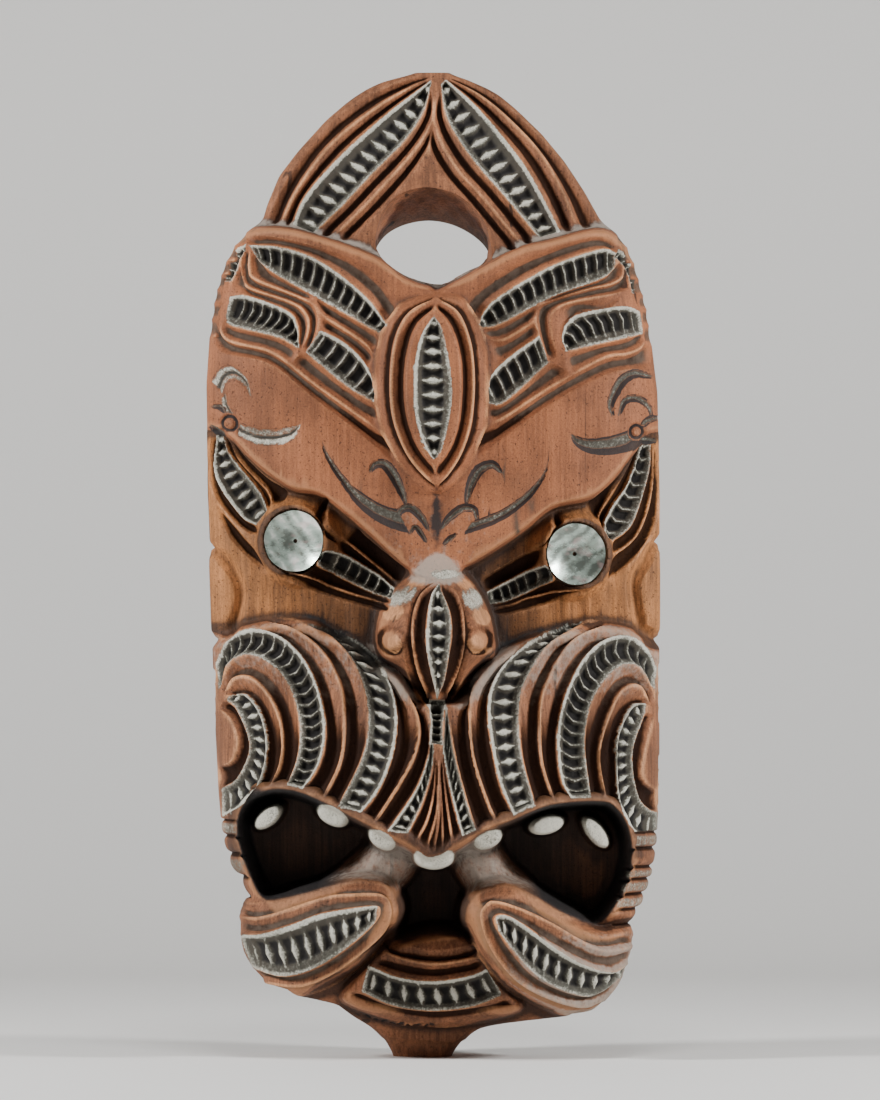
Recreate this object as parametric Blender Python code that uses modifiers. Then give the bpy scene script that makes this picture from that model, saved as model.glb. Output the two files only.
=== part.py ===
"""Carved gable mask: one wooden body with wrapped relief, and two dished shell eyes.

Metres, +Z up. The flat back lies on Y = 0 and faces +Y, the face looks along -Y.
The origin is on the back face, on the centre line, at half the mask's height.
"""

import math

import bmesh
import bpy
import numpy as np
from mathutils import Matrix, Vector

# Driving sizes, in metres
MASK_HEIGHT = 0.650
SIDE_DEPTH = 0.036
ARM_SIDE_DEPTH = 0.060
FOOT_DEPTH = 0.052
CHIN_DEPTH = 0.088
CHEEK_DEPTH = 0.066
BROW_DEPTH = 0.089
BRIDGE_DEPTH = 0.095
LOZENGE_DEPTH = 0.112
NOSE_DEPTH = 0.146
LIP_TOP_DEPTH = 0.090
LIP_RIM_DEPTH = 0.130
JAW_DEPTH = 0.104
ARM_DEPTH = 0.126
ARM_EDGE_DEPTH = 0.098
MOUTH_BACK_WALL = 0.030
STEM_DEPTH = 0.082
TOOTH_DEPTH = 0.112
CROWN_DEPTH = 0.058
CROWN_TIP_DEPTH = 0.042
EAR_KNOB_RISE = 0.0005
EAR_GROOVE_DEPTH = 0.0040

EYE_DEPTH = 0.070
EYE_TURN = math.radians(17)
SHELL_RADIUS = 0.0205
SHELL_THICKNESS = 0.0020
SHELL_DISH = 0.0040
SHELL_HOLE_RADIUS = 0.0014
SHELL_SET_BACK = 0.0012
FIT_GAP = 0.0003
SOCKET_RIM_WIDTH = 0.0030
SOCKET_RIM_RISE = 0.0022

FLUTE_DEPTH = 0.0046
LIP_FLUTE_DEPTH = 0.0062
PANEL_DEPTH = 0.0046
CURL_DEPTH = 0.0022
JAW_GROOVE_DEPTH = 0.0034
NOSTRIL_GROOVE_DEPTH = 0.0040
NOSTRIL_RISE = 0.0050
# How wide the wood's blend from the eye's turned disc into the face is
SOCKET_RIM_SLOPE = 0.0025
SOCKET_BLEND = 0.0090
SOCKET_REACH = 0.040

SHELL_STEPS = 30
SHELL_RINGS = 4
BODY_FACES = 7500
FLAT_TOLERANCE = 0.0004
MOUNT_LEVEL = 0.5 * MASK_HEIGHT

# The layout divides the height into this many units; the carving is drawn in them, x from the
# centre line and z above the foot, so that it keeps its proportions when the height changes.
LAYOUT_UNITS = 985
UNIT = MASK_HEIGHT / LAYOUT_UNITS
REACH = 330
CANVAS_STEP = 1.0
GRID_STEP = 2.4

# Half widths of the front outline at named levels, as (level, half width)
LEFT_OUTLINE = [(0, 41), (18, 51), (29, 63), (41, 82), (57, 102), (60, 136), (71, 167), (88, 181),
                (106, 191), (126, 195), (150, 196), (160, 187), (177, 194), (190, 204), (221, 213),
                (266, 217), (347, 221), (500, 226), (600, 228), (674, 229), (722, 226), (759, 221),
                (791, 212), (812, 201), (828, 186), (836, 173), (853, 168), (882, 156), (907, 137),
                (939, 108), (959, 84), (971, 65), (980, 43), (985, 12)]
RIGHT_OUTLINE = [(0, 16), (12, 24), (25, 36), (33, 58), (38, 105), (42, 148), (49, 162), (57, 170),
                 (71, 182), (88, 191), (104, 197), (124, 199), (134, 194), (153, 207), (181, 217),
                 (210, 222), (277, 225), (577, 225), (665, 223), (706, 218), (750, 212), (794, 200),
                 (814, 191), (826, 180), (835, 167), (867, 149), (896, 130), (925, 106), (951, 79),
                 (966, 60), (981, 27), (985, 9)]
# Share of the outline's half width that the back keeps, at named levels
BACK_SHARE = [(0, 0.96), (60, 0.62), (110, 0.66), (160, 0.82), (200, 0.95), (985, 0.97)]
LINES = {
    "crown_left_1": [(-170, 835), (-154, 870), (-127, 913), (-85, 952), (-39, 975), (-4, 982)],
    "crown_left_2": [(-154, 833), (-138, 867), (-105, 912), (-60, 949), (-25, 970), (-5, 979)],
    "crown_left_3": [(-142, 832), (-129, 861), (-93, 902), (-49, 942), (-4, 977)],
    "crown_left_4": [(-121, 824), (-90, 854), (-61, 885), (-30, 917), (-11, 947), (-4, 975)],
    "crown_left_5": [(-101, 820), (-70, 851), (-39, 885), (-15, 914), (-2, 937)],
    "crown_left_6": [(-83, 816), (-35, 865), (-7, 907)],
    "crown_right_1": [(11, 981), (37, 975), (68, 956), (100, 928), (127, 897), (149, 865), (164, 833)],
    "crown_right_2": [(12, 980), (46, 962), (77, 936), (106, 904), (127, 867), (142, 828)],
    "crown_right_3": [(11, 978), (40, 952), (70, 917), (95, 882), (125, 825)],
    "crown_right_4": [(6, 973), (11, 942), (26, 914), (47, 886), (70, 860), (104, 819)],
    "crown_right_5": [(-2, 937), (6, 915), (24, 885), (47, 860), (87, 811)],
    "crown_right_6": [(-7, 907), (4, 884), (40, 841), (70, 805)],
    "brow_left_1": [(-187, 821), (-160, 819), (-100, 804), (-73, 792), (-51, 774), (-36, 753)],
    "brow_left_2": [(-185, 811), (-155, 808), (-123, 798), (-92, 778), (-65, 754), (-49, 731)],
    "brow_left_2b": [(-177, 795), (-159, 782), (-105, 751), (-56, 723)],
    "brow_left_3": [
        (-185, 809), (-186, 787), (-178, 776), (-130, 756), (-118, 745), (-117, 727), (-124, 705)],
    "brow_left_4": [
        (-194, 805), (-195, 782), (-188, 769), (-145, 754), (-130, 743), (-126, 729), (-132, 705)],
    "brow_left_5": [(-205, 760), (-187, 760), (-148, 745), (-138, 731), (-136, 711)],
    "brow_left_5b": [(-209, 739), (-203, 731), (-157, 719), (-136, 708)],
    "brow_left_6": [(-111, 739), (-72, 714), (-61, 701)],
    "brow_left_7": [(-114, 725), (-94, 715), (-76, 700), (-65, 683), (-61, 662)],
    "brow_left_7b": [(-129, 704), (-89, 671), (-61, 654)],
    "brow_left_8": [
        (-211, 758), (-219, 749), (-217, 731), (-207, 716), (-169, 706), (-148, 694), (-123, 674),
        (-57, 627)],
    "brow_left_9": [
        (-221, 741), (-223, 719), (-215, 704), (-173, 695), (-152, 684), (-129, 664), (-99, 641),
        (-72, 620), (-20, 575)],
    "brow_right_1": [(29, 755), (40, 769), (77, 792), (100, 802), (150, 819), (171, 821), (185, 813)],
    "brow_right_2": [(45, 732), (50, 745), (66, 760), (116, 789), (165, 806), (181, 803)],
    "brow_right_2b": [(47, 728), (65, 732), (115, 758), (165, 777), (179, 787)],
    "brow_right_3": [
        (187, 795), (189, 781), (177, 773), (155, 768), (109, 753), (100, 744), (102, 725), (111, 695)],
    "brow_right_4": [(197, 772), (185, 764), (140, 755), (122, 748), (115, 737), (116, 719), (122, 700)],
    "brow_right_5": [(131, 705), (127, 719), (131, 732), (145, 742), (187, 750), (205, 745)],
    "brow_right_5b": [(131, 705), (170, 714), (208, 723)],
    "brow_right_6": [(54, 716), (70, 717), (97, 733)],
    "brow_right_7": [(54, 665), (57, 681), (71, 696), (104, 720)],
    "brow_right_7b": [(54, 652), (70, 655), (113, 694)],
    "brow_right_8": [(212, 725), (208, 711), (193, 703), (170, 699), (118, 671), (70, 640), (54, 633)],
    "brow_right_9": [(220, 684), (195, 686), (171, 681), (119, 654), (68, 618), (31, 590), (17, 574)],
    "lozenge_left_1": [
        (1, 758), (-26, 742), (-40, 712), (-44, 672), (-41, 636), (-28, 602), (-11, 580), (2, 570)],
    "lozenge_right_1": [
        (1, 758), (23, 742), (35, 712), (39, 675), (36, 637), (27, 605), (14, 582), (2, 570)],
    "lozenge_left_2": [(0, 748), (-17, 727), (-25, 701), (-28, 670), (-25, 637), (-15, 609), (-1, 590)],
    "lozenge_right_2": [(0, 748), (16, 724), (24, 694), (25, 663), (22, 632), (13, 607), (-1, 590)],
    "lozenge_left_3": [(-1, 739), (-14, 718), (-20, 689), (-21, 662), (-18, 633), (-10, 610), (-1, 596)],
    "lozenge_right_3": [(-1, 739), (9, 719), (17, 662), (8, 610), (-1, 596)],
    "eye_left_1": [(-219, 623), (-221, 582), (-195, 542), (-179, 532)],
    "eye_left_1b": [(-213, 623), (-205, 602), (-176, 566), (-167, 546)],
    "eye_left_2": [(-226, 617), (-227, 587), (-221, 562), (-207, 542), (-189, 526), (-176, 521)],
    "eye_left_3": [(-207, 616), (-195, 595), (-168, 567), (-163, 552)],
    "eye_left_4": [(-202, 614), (-185, 594), (-165, 576), (-148, 566), (-147, 557)],
    "eye_left_5": [(-220, 554), (-209, 526), (-194, 506), (-165, 481)],
    "eye_left_5b": [(-220, 554), (-178, 504), (-165, 481)],
    "eye_left_7": [(-113, 559), (-114, 542), (-106, 525), (-92, 511)],
    "eye_left_8": [(-106, 558), (-104, 539), (-92, 519), (-37, 474)],
    "eye_left_9": [(-110, 503), (-96, 505), (-59, 484), (-41, 469)],
    "eye_left_9b": [(-111, 500), (-110, 491), (-100, 483), (-64, 465), (-44, 459)],
    "eye_left_12": [(-151, 480), (-125, 468), (-93, 457), (-47, 445)],
    "eye_right_1": [(210, 616), (192, 572), (177, 550), (169, 532), (172, 519)],
    "eye_right_1b": [(216, 616), (215, 587), (201, 541), (191, 526), (177, 516)],
    "eye_right_2": [(221, 616), (221, 582), (215, 549), (202, 521), (177, 500)],
    "eye_right_3": [(202, 605), (193, 587), (167, 548), (164, 533)],
    "eye_right_4": [(199, 602), (181, 578), (161, 560), (149, 553)],
    "eye_right_5": [(225, 577), (222, 542), (212, 516), (195, 495), (171, 475)],
    "eye_right_7": [(123, 545), (122, 533), (113, 519)],
    "eye_right_8": [(115, 543), (111, 525), (101, 512), (45, 477)],
    "eye_right_9": [(52, 465), (90, 485), (103, 491), (111, 486)],
    "eye_right_9b": [(55, 453), (75, 457), (108, 473), (112, 483)],
    "eye_right_11": [(57, 448), (77, 453), (99, 461), (151, 467)],
    "eye_right_12": [(57, 444), (73, 443), (125, 457), (153, 466)],
    "lip_left_a": [(-9, 356), (-4, 322), (-8, 297), (-20, 268), (-47, 229)],
    "lip_left_b": [(-26, 366), (-18, 349), (-15, 327), (-21, 302), (-35, 277), (-61, 237)],
    "lip_left_c": [
        (-97, 427), (-71, 412), (-51, 390), (-40, 362), (-38, 332), (-43, 302), (-55, 272), (-73, 248)],
    "lip_left_d": [(-135, 437), (-105, 424), (-82, 399), (-69, 367), (-66, 335), (-72, 302), (-96, 253)],
    "lip_left_e": [
        (-173, 438), (-143, 431), (-115, 411), (-97, 384), (-90, 355), (-93, 302), (-112, 260)],
    "lip_left_g": [
        (-219, 395), (-205, 420), (-180, 429), (-155, 422), (-132, 401), (-117, 372), (-110, 342),
        (-110, 317), (-117, 292), (-131, 271)],
    "lip_left_h": [
        (-216, 367), (-209, 392), (-190, 403), (-170, 398), (-150, 381), (-138, 355), (-134, 327),
        (-137, 300), (-147, 274)],
    "lip_left_i": [
        (-212, 364), (-202, 380), (-185, 381), (-168, 367), (-156, 345), (-152, 321), (-154, 297),
        (-163, 274)],
    "lip_left_j": [
        (-203, 363), (-189, 363), (-175, 347), (-168, 322), (-169, 297), (-177, 272), (-191, 255),
        (-213, 241)],
    "lip_left_k": [(-209, 358), (-197, 347), (-185, 312), (-197, 281), (-213, 269)],
    "lip_left_l": [(-215, 349), (-204, 339), (-197, 322), (-198, 307), (-205, 295), (-217, 291)],
    "lip_right_a": [(11, 356), (18, 310), (33, 252), (41, 230)],
    "lip_right_b": [(68, 404), (46, 385), (34, 362), (37, 307), (51, 261), (61, 238)],
    "lip_right_c": [(132, 434), (90, 414), (67, 393), (54, 367), (53, 337), (63, 282), (78, 245)],
    "lip_right_d": [(148, 436), (116, 417), (96, 390), (84, 360), (85, 309), (99, 254)],
    "lip_right_e": [(171, 434), (145, 424), (127, 407), (112, 380), (104, 352), (106, 300), (119, 258)],
    "lip_right_g": [
        (222, 389), (210, 411), (190, 422), (167, 417), (147, 398), (131, 367), (123, 337), (122, 307),
        (126, 279), (135, 261)],
    "lip_right_h": [
        (219, 367), (207, 388), (191, 394), (173, 383), (157, 360), (150, 335), (149, 307), (155, 262)],
    "lip_right_i": [(217, 352), (207, 371), (193, 372), (179, 357), (164, 310), (169, 264)],
    "lip_right_j": [
        (211, 355), (199, 353), (188, 337), (181, 312), (183, 262), (193, 235), (207, 221), (222, 219)],
    "lip_right_k": [(210, 345), (197, 305), (203, 263), (215, 248), (223, 245)],
    "lip_right_l": [(218, 341), (206, 291), (210, 276), (221, 267)],
    "philtrum_1": [(-1, 309), (-4, 287), (-13, 257), (-27, 227)],
    "philtrum_2": [(2, 307), (0, 272), (-7, 242), (-18, 219)],
    "philtrum_3": [(3, 287), (1, 247), (-8, 212)],
    "philtrum_4": [(4, 287), (4, 247), (-1, 207)],
    "philtrum_5": [(5, 292), (7, 252), (8, 211)],
    "philtrum_6": [(6, 305), (10, 267), (17, 219)],
    "philtrum_7": [(8, 309), (15, 272), (27, 225)],
    "chin_1": [(-51, 108), (-27, 100), (3, 96), (41, 102)],
    "chin_2": [(-67, 94), (-36, 82), (-1, 78), (33, 83), (51, 90)],
    "chin_3": [(-73, 68), (-41, 54), (-4, 49), (35, 53), (67, 65)],
    "chin_4": [(-95, 64), (-57, 43), (-5, 33), (47, 37), (89, 51)],
    "nose_left_1": [(3, 477), (-14, 465), (-22, 442), (-23, 412), (-19, 386), (-9, 359)],
    "nose_right_1": [(6, 477), (22, 465), (29, 442), (30, 412), (25, 386), (13, 359)],
    "nose_left_2": [(3, 473), (-5, 458), (-8, 407), (2, 359)],
    "nose_right_2": [(5, 473), (16, 437), (11, 382), (2, 359)],
    "arm_left_1": [
        (-196, 141), (-171, 143), (-112, 163), (-82, 167), (-53, 167), (-43, 155), (-44, 139),
        (-53, 124), (-82, 100), (-110, 82), (-137, 73), (-173, 75)],
    "arm_left_2": [
        (-195, 123), (-171, 126), (-141, 136), (-112, 147), (-63, 155), (-54, 151), (-59, 139),
        (-82, 118), (-110, 98), (-135, 87), (-157, 84), (-183, 91)],
    "arm_right_1": [
        (199, 112), (174, 109), (154, 115), (111, 140), (64, 160), (50, 156), (45, 145), (52, 120),
        (69, 93), (95, 71), (144, 52), (167, 57)],
    "arm_right_2": [
        (197, 95), (175, 87), (134, 103), (87, 137), (69, 146), (60, 143), (64, 129), (102, 85),
        (148, 64), (170, 69), (189, 84)],
    "arm_left_0": [
        (-196, 154), (-173, 156), (-135, 164), (-100, 174), (-70, 177), (-49, 171), (-38, 154),
        (-42, 132), (-55, 112), (-75, 92), (-100, 74), (-125, 64), (-150, 62), (-173, 67)],
    "arm_right_0": [
        (200, 122), (187, 133), (165, 131), (140, 139), (95, 165), (70, 172), (47, 168), (35, 157),
        (32, 142), (37, 117), (50, 94), (70, 72), (95, 55), (120, 44), (145, 41), (171, 54)],
    "lozenge_left_0": [
        (1, 761), (-30, 754), (-47, 738), (-57, 711), (-60, 672), (-57, 640), (-47, 611), (-30, 586),
        (-11, 569), (2, 562)],
    "lozenge_right_0": [
        (1, 761), (30, 755), (43, 737), (51, 707), (52, 638), (44, 608), (28, 583), (2, 562)],
    "nose_left_0": [
        (5, 480), (-15, 472), (-26, 452), (-30, 417), (-28, 392), (-20, 369), (-8, 355), (2, 351)],
    "nose_right_0": [(5, 480), (24, 469), (33, 447), (36, 417), (22, 367), (14, 355), (2, 351)],
}

REGIONS = {
    "brow": [
        (-330, 795), (-225, 795), (-210, 813), (-193, 826), (-173, 831), (-135, 827), (-63, 803),
        (-30, 780), (-5, 771), (10, 771), (77, 807), (113, 817), (169, 829), (201, 805), (216, 790),
        (330, 780), (330, 625), (225, 625), (205, 609), (181, 579), (155, 557), (117, 547), (85, 522),
        (55, 502), (25, 485), (0, 478), (-23, 482), (-65, 520), (-90, 542), (-115, 560), (-145, 567),
        (-180, 592), (-205, 617), (-229, 627), (-330, 630)],
    "lozenge": [
        (1, 761), (-30, 754), (-47, 738), (-57, 711), (-60, 672), (-57, 640), (-47, 611), (-30, 586),
        (2, 562), (28, 583), (44, 608), (52, 638), (51, 707), (30, 755)],
    "nose": [
        (-9, 505), (-30, 482), (-50, 460), (-58, 440), (-60, 415), (-53, 399), (-34, 385), (-9, 354),
        (14, 354), (42, 388), (60, 401), (61, 417), (50, 457), (14, 505)],
    "muzzle": [
        (-330, 426), (-221, 426), (-208, 428), (-163, 438), (-123, 437), (-105, 427), (-79, 415),
        (-63, 399), (-34, 385), (-20, 367), (2, 354), (26, 367), (42, 388), (67, 408), (91, 419),
        (116, 426), (152, 435), (188, 432), (206, 423), (224, 408), (330, 400), (330, 120),
        (-330, 120)],
    "mouth": [
        (-167, 157), (-185, 182), (-198, 231), (-183, 263), (-140, 270), (-75, 241), (-25, 216),
        (-1, 204), (45, 230), (70, 239), (115, 256), (165, 259), (181, 251), (193, 232), (197, 207),
        (193, 179), (181, 154), (160, 133), (125, 147), (95, 164), (65, 171), (37, 159), (32, 132),
        (40, 120), (0, 123), (-37, 117), (-42, 129), (-38, 152), (-50, 171), (-80, 176), (-125, 166)],
    "arm_left": [
        (-240, 154), (-196, 154), (-173, 156), (-135, 164), (-100, 174), (-70, 177), (-49, 171),
        (-38, 154), (-42, 132), (-75, 92), (-125, 64), (-150, 60), (-190, 66), (-240, 90)],
    "arm_right": [
        (35, 157), (70, 172), (95, 165), (140, 139), (165, 131), (187, 133), (240, 130), (240, 60),
        (187, 45), (163, 40), (145, 38), (120, 44), (70, 72), (37, 117)],
    "chin": [
        (-47, 117), (-35, 118), (-4, 124), (15, 127), (38, 118), (60, 85), (89, 51), (45, 36),
        (-5, 31), (-57, 41), (-95, 60), (-70, 95)],
    "ear_left": [
        (-250, 503), (-226, 500), (-216, 493), (-205, 478), (-201, 462), (-206, 440), (-216, 428),
        (-250, 425)],
    "ear_right": [
        (250, 508), (225, 506), (216, 492), (206, 476), (206, 462), (210, 442), (216, 430), (250, 425)],
}
# The crown's hole, where its slope starts at the front and where it opens at the back
HOLE_OUTLINES = {
    "back": [
        (-59, 807), (-56, 817), (-45, 828), (-27, 836), (-5, 839), (17, 835), (37, 825), (51, 812),
        (55, 800), (51, 794), (30, 784), (10, 773), (-5, 773), (-30, 781), (-50, 795)],
    "front": [
        (-59, 810), (-57, 830), (-47, 852), (-31, 864), (-8, 869), (16, 864), (35, 853), (50, 832),
        (56, 804), (51, 794), (30, 784), (10, 773), (-5, 773), (-30, 781), (-50, 795)],
}

# Flutes are gouged between two neighbouring crest lines. A crest may be a stretch of a line, as
# (line, first share of its length, last share).
PLAIN_FLUTES = [
    ("crown_left_1", "crown_left_2"), ("crown_left_2", "crown_left_3"),
    ("crown_left_4", "crown_left_5"), ("crown_left_5", "crown_left_6"),
    ("crown_right_1", "crown_right_2"), ("crown_right_2", "crown_right_3"),
    ("crown_right_4", "crown_right_5"), ("crown_right_5", "crown_right_6"),
    ("brow_left_1", "brow_left_2"), ("brow_left_3", "brow_left_4"), ("brow_left_4", "brow_left_5"),
    (("brow_left_2b", 0.0, 0.48), ("brow_left_3", 0.0, 0.62)),
    (("brow_left_2b", 0.48, 1.0), "brow_left_6"), ("brow_left_6", ("brow_left_7", 0.0, 0.7)),
    ("brow_left_5b", ("brow_left_8", 0.17, 0.52)), ("brow_left_7b", ("brow_left_8", 0.52, 1.0)),
    ("brow_left_8", ("brow_left_9", 0.0, 0.92)),
    ("brow_right_1", "brow_right_2"), ("brow_right_3", "brow_right_4"),
    ("brow_right_4", "brow_right_5"),
    (("brow_right_2b", 1.0, 0.42), ("brow_right_3", 0.0, 0.55)),
    (("brow_right_2b", 0.42, 0.0), ("brow_right_6", 1.0, 0.0)),
    ("brow_right_6", ("brow_right_7", 0.35, 1.0)),
    ("brow_right_5b", ("brow_right_8", 0.5, 0.0)), ("brow_right_7b", ("brow_right_8", 1.0, 0.5)),
    ("brow_right_8", ("brow_right_9", 0.0, 0.9)),
    ("lozenge_left_0", "lozenge_left_1"), ("lozenge_left_1", "lozenge_left_2"),
    ("lozenge_right_0", "lozenge_right_1"), ("lozenge_right_1", "lozenge_right_2"),
    ("eye_left_2", "eye_left_1"), ("eye_left_1b", "eye_left_3"), ("eye_left_3", "eye_left_4"),
    ("eye_left_5", "eye_left_5b"), ("eye_left_7", ("eye_left_8", 0.0, 0.5)),
    ("eye_left_9b", "eye_left_12"),
    ("eye_right_2", "eye_right_1b"), ("eye_right_1", "eye_right_3"), ("eye_right_3", "eye_right_4"),
    ("eye_right_5", "eye_right_2"), ("eye_right_7", ("eye_right_8", 0.0, 0.5)),
    ("eye_right_9b", "eye_right_11"), ("eye_right_11", "eye_right_12"),
    ("nose_left_0", "nose_left_1"), ("nose_left_1", "nose_left_2"),
    ("nose_right_0", "nose_right_1"), ("nose_right_1", "nose_right_2"),
    ("philtrum_1", "philtrum_2"), ("philtrum_2", "philtrum_3"), ("philtrum_3", "philtrum_4"),
    ("philtrum_4", "philtrum_5"), ("philtrum_5", "philtrum_6"), ("philtrum_6", "philtrum_7"),
    ("chin_1", "chin_2"), ("chin_3", "chin_4"),
    ("arm_left_0", "arm_left_1"), ("arm_left_1", "arm_left_2"),
    ("arm_right_0", "arm_right_1"), ("arm_right_1", "arm_right_2"),
]
LIP_FLUTES = [
    ("lip_left_a", "lip_left_b"), ("lip_left_b", "lip_left_c"), ("lip_left_d", "lip_left_e"),
    ("lip_left_e", "lip_left_g"), ("lip_left_h", "lip_left_i"), ("lip_left_i", "lip_left_j"),
    ("lip_left_k", "lip_left_l"),
    ("lip_right_a", "lip_right_b"), ("lip_right_b", "lip_right_c"),
    ("lip_right_d", "lip_right_e"), ("lip_right_e", "lip_right_g"),
    ("lip_right_h", "lip_right_i"), ("lip_right_i", "lip_right_j"),
    ("lip_right_k", "lip_right_l"),
]
# Sunk panels between two edges, with rows of teeth: (edge, edge, kind, pitch, bend)
PANELS = [
    ("crown_left_3", "crown_left_4", "pyramid", 15, 0), ("crown_right_3", "crown_right_4", "pyramid", 16, 0),
    ("brow_left_2", "brow_left_2b", "wall", 12, 0.1), ("brow_left_5", "brow_left_5b", "wall", 10, 0.35),
    ("brow_left_7", "brow_left_7b", "wall", 13, 0.1),
    ("brow_right_2", "brow_right_2b", "wall", 11.5, 0.15),
    ("brow_right_5", "brow_right_5b", "wall", 11, 0.35), ("brow_right_7", "brow_right_7b", "wall", 13, 0.1),
    ("lozenge_left_3", "lozenge_right_3", "pyramid", 14.5, 0),
    ("eye_left_1", "eye_left_1b", "pyramid", 11.5, 0), ("eye_left_9", "eye_left_9b", "wall", 11, 0.1),
    ("eye_right_1", "eye_right_1b", "wall", 14, 0.35), ("eye_right_9", "eye_right_9b", "wall", 9.5, 0.1),
    ("lip_left_c", "lip_left_d", "pyramid", 14, 0), ("lip_left_g", "lip_left_h", "wall", 11.5, 0.4),
    ("lip_left_j", "lip_left_k", "pyramid", 12, 0),
    ("lip_right_c", "lip_right_d", "pyramid", 14.5, 0), ("lip_right_g", "lip_right_h", "wall", 12, 0.4),
    ("lip_right_j", "lip_right_k", "pyramid", 12, 0),
    ("lip_left_a", "philtrum_1", "pyramid", 11, 0), ("philtrum_7", "lip_right_a", "pyramid", 11, 0),
    ("chin_2", "chin_3", "pyramid", 17, 0), ("nose_left_2", "nose_right_2", "pyramid", 15, 0),
    (("arm_left_2", 0.0, 0.47), ("arm_left_2", 1.0, 0.53), "pyramid", 14, 0),
    (("arm_right_2", 0.0, 0.48), ("arm_right_2", 1.0, 0.52), "pyramid", 14, 0),
]
# Curls cut into the smooth brow: (spine, greatest width)
CURLS = [
    ([(-134, 631), (-160, 625), (-180, 622), (-198, 630), (-206, 645), (-211, 660)], 13),
    ([(-184, 663), (-190, 678), (-199, 690), (-212, 690), (-222, 678)], 10),
    ([(-111, 617), (-101, 590), (-78, 558), (-53, 535), (-28, 525)], 8),
    ([(-63, 588), (-51, 596), (-39, 581), (-30, 560), (-27, 548)], 7),
    ([(136, 617), (150, 612), (172, 611), (196, 617)], 14),
    ([(178, 642), (176, 658), (188, 674), (204, 680), (217, 676)], 8),
    ([(113, 608), (108, 585), (94, 563), (74, 547), (30, 528)], 8),
    ([(68, 587), (56, 592), (44, 580), (35, 562), (31, 549)], 7),
]
TEETH = [(-166, 241, 17, 9, 40), (-102, 243, 17, 10, -28), (-53, 220, 15, 9, -32),
         (-1, 202, 20, 13, 0), (53, 220, 15, 9, 24), (111, 234, 18, 10, 14), (160, 226, 9, 19, 38)]
EYES = {"left": (-141, 516), "right": (141, 503)}
# Crests that run back round the block, as levels where they leave the front outline
SIDE_LEVELS_LEFT = [826, 812, 796, 782, 768, 754, 738, 720]
SIDE_LEVELS_RIGHT = [824, 810, 794, 778, 762, 748, 732, 712]
SIDE_FLUTE_RUN = 62
SIDE_FLUTE_START = 5
SIDE_FLUTE_SAG = 10
# Rings that close the lips' spirals: (side, centre x, centre z, first radius, end, spacing, stretch)
SPIRAL_SIDES = [(-1, 221, 313, 13, 60, 12, 1.22), (1, 225, 318, 13, 60, 12, 1.24)]
SPIRAL_WIDTH = 0.9
# Rounded ridges round the jaws: (side, start x at the top, at the bottom, levels between ridges)
JAW_RIDGES = [(-1, 196, 181, [238, 221, 203, 179, 160]),
              (1, 199, 172, [226, 209, 190, 178, 163, 148, 134])]
JAW_RUN = 70

# Levels between which the front's larger forms change, as (upper, lower)
BROW_SWELL = (760, 560)
MUZZLE_TOP = 436
MUZZLE_END = (122, 150)
LIP_FALL = (235, 160)
LIP_RIM_LEVEL = 204
LIP_RIM_SLOPE = 0.34
LIP_RIM_REACH = 165
CHIN_STEP = (95, 125)
CHIN_STEP_DEPTH = 0.008
CHIN_FALL = (52, 34)
CHIN_FALL_DEPTH = 0.012
# Rounded stems that join the lobes to the mouth's back: (line, half width)
STEMS = [([(-88, 160), (-55, 178), (-22, 196), (0, 210)], 27),
         ([(78, 158), (50, 176), (26, 194), (8, 210)], 25)]
# The nose's profile as (level, depth)
NOSE_PROFILE = [(350, LIP_RIM_DEPTH), (372, NOSE_DEPTH - 0.004), (400, NOSE_DEPTH),
                (425, NOSE_DEPTH - 0.003), (470, BRIDGE_DEPTH + 0.022), (506, BRIDGE_DEPTH)]
NOSTRILS = [(-43, 417), (45, 417)]
# The crown hole's cutter runs past the back and the front by these shares of the crown's depth
HOLE_PAST_BACK = 0.05
HOLE_PAST_FRONT = 2.2


def spline(points, steps=10, closed=False):
    """Dense points on a smooth curve through the given ones."""
    given = np.array(points, float)
    if closed:
        ends = np.vstack([given[-1:], given, given[:2]])
    else:
        ends = np.vstack([2 * given[0] - given[1], given, 2 * given[-1] - given[-2]])
    share = np.linspace(0, 1, steps, endpoint=False)[:, None]
    pieces = []
    for a, b, c, d in zip(ends, ends[1:], ends[2:], ends[3:]):
        linear, square, cube = c - a, 2 * a - 5 * b + 4 * c - d, 3 * b - a - 3 * c + d
        pieces.append(b + 0.5 * (linear * share + square * share**2 + cube * share**3))
    if not closed:
        pieces.append(given[-1:])
    return np.vstack(pieces)


def resampled(line, count):
    """The same line as evenly spaced points."""
    length = np.concatenate([[0], np.cumsum(np.hypot(*np.diff(line, axis=0).T))])
    even = np.linspace(0, length[-1], count)
    return np.column_stack([np.interp(even, length, line[:, k]) for k in (0, 1)])


def length_of(line):
    return np.hypot(*np.diff(line, axis=0).T).sum()


def crest(name):
    """A named line, or the stretch of one between two shares of its length."""
    if isinstance(name, str):
        return spline(LINES[name])
    line = resampled(spline(LINES[name[0]]), 201)
    first, last = round(name[1] * 200), round(name[2] * 200)
    return line[first:last + 1] if first < last else line[last:first + 1][::-1]


def smoothstep(low, high, value):
    share = np.clip((value - low) / (high - low), 0, 1)
    return share * share * (3 - 2 * share)


def blurred(field, times=1):
    for _ in range(times):
        padded = np.pad(field, 1, mode="edge")
        rows = (padded[:-2] + 2 * padded[1:-1] + padded[2:]) / 4
        field = (rows[:, :-2] + 2 * rows[:, 1:-1] + rows[:, 2:]) / 4
    return field


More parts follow.
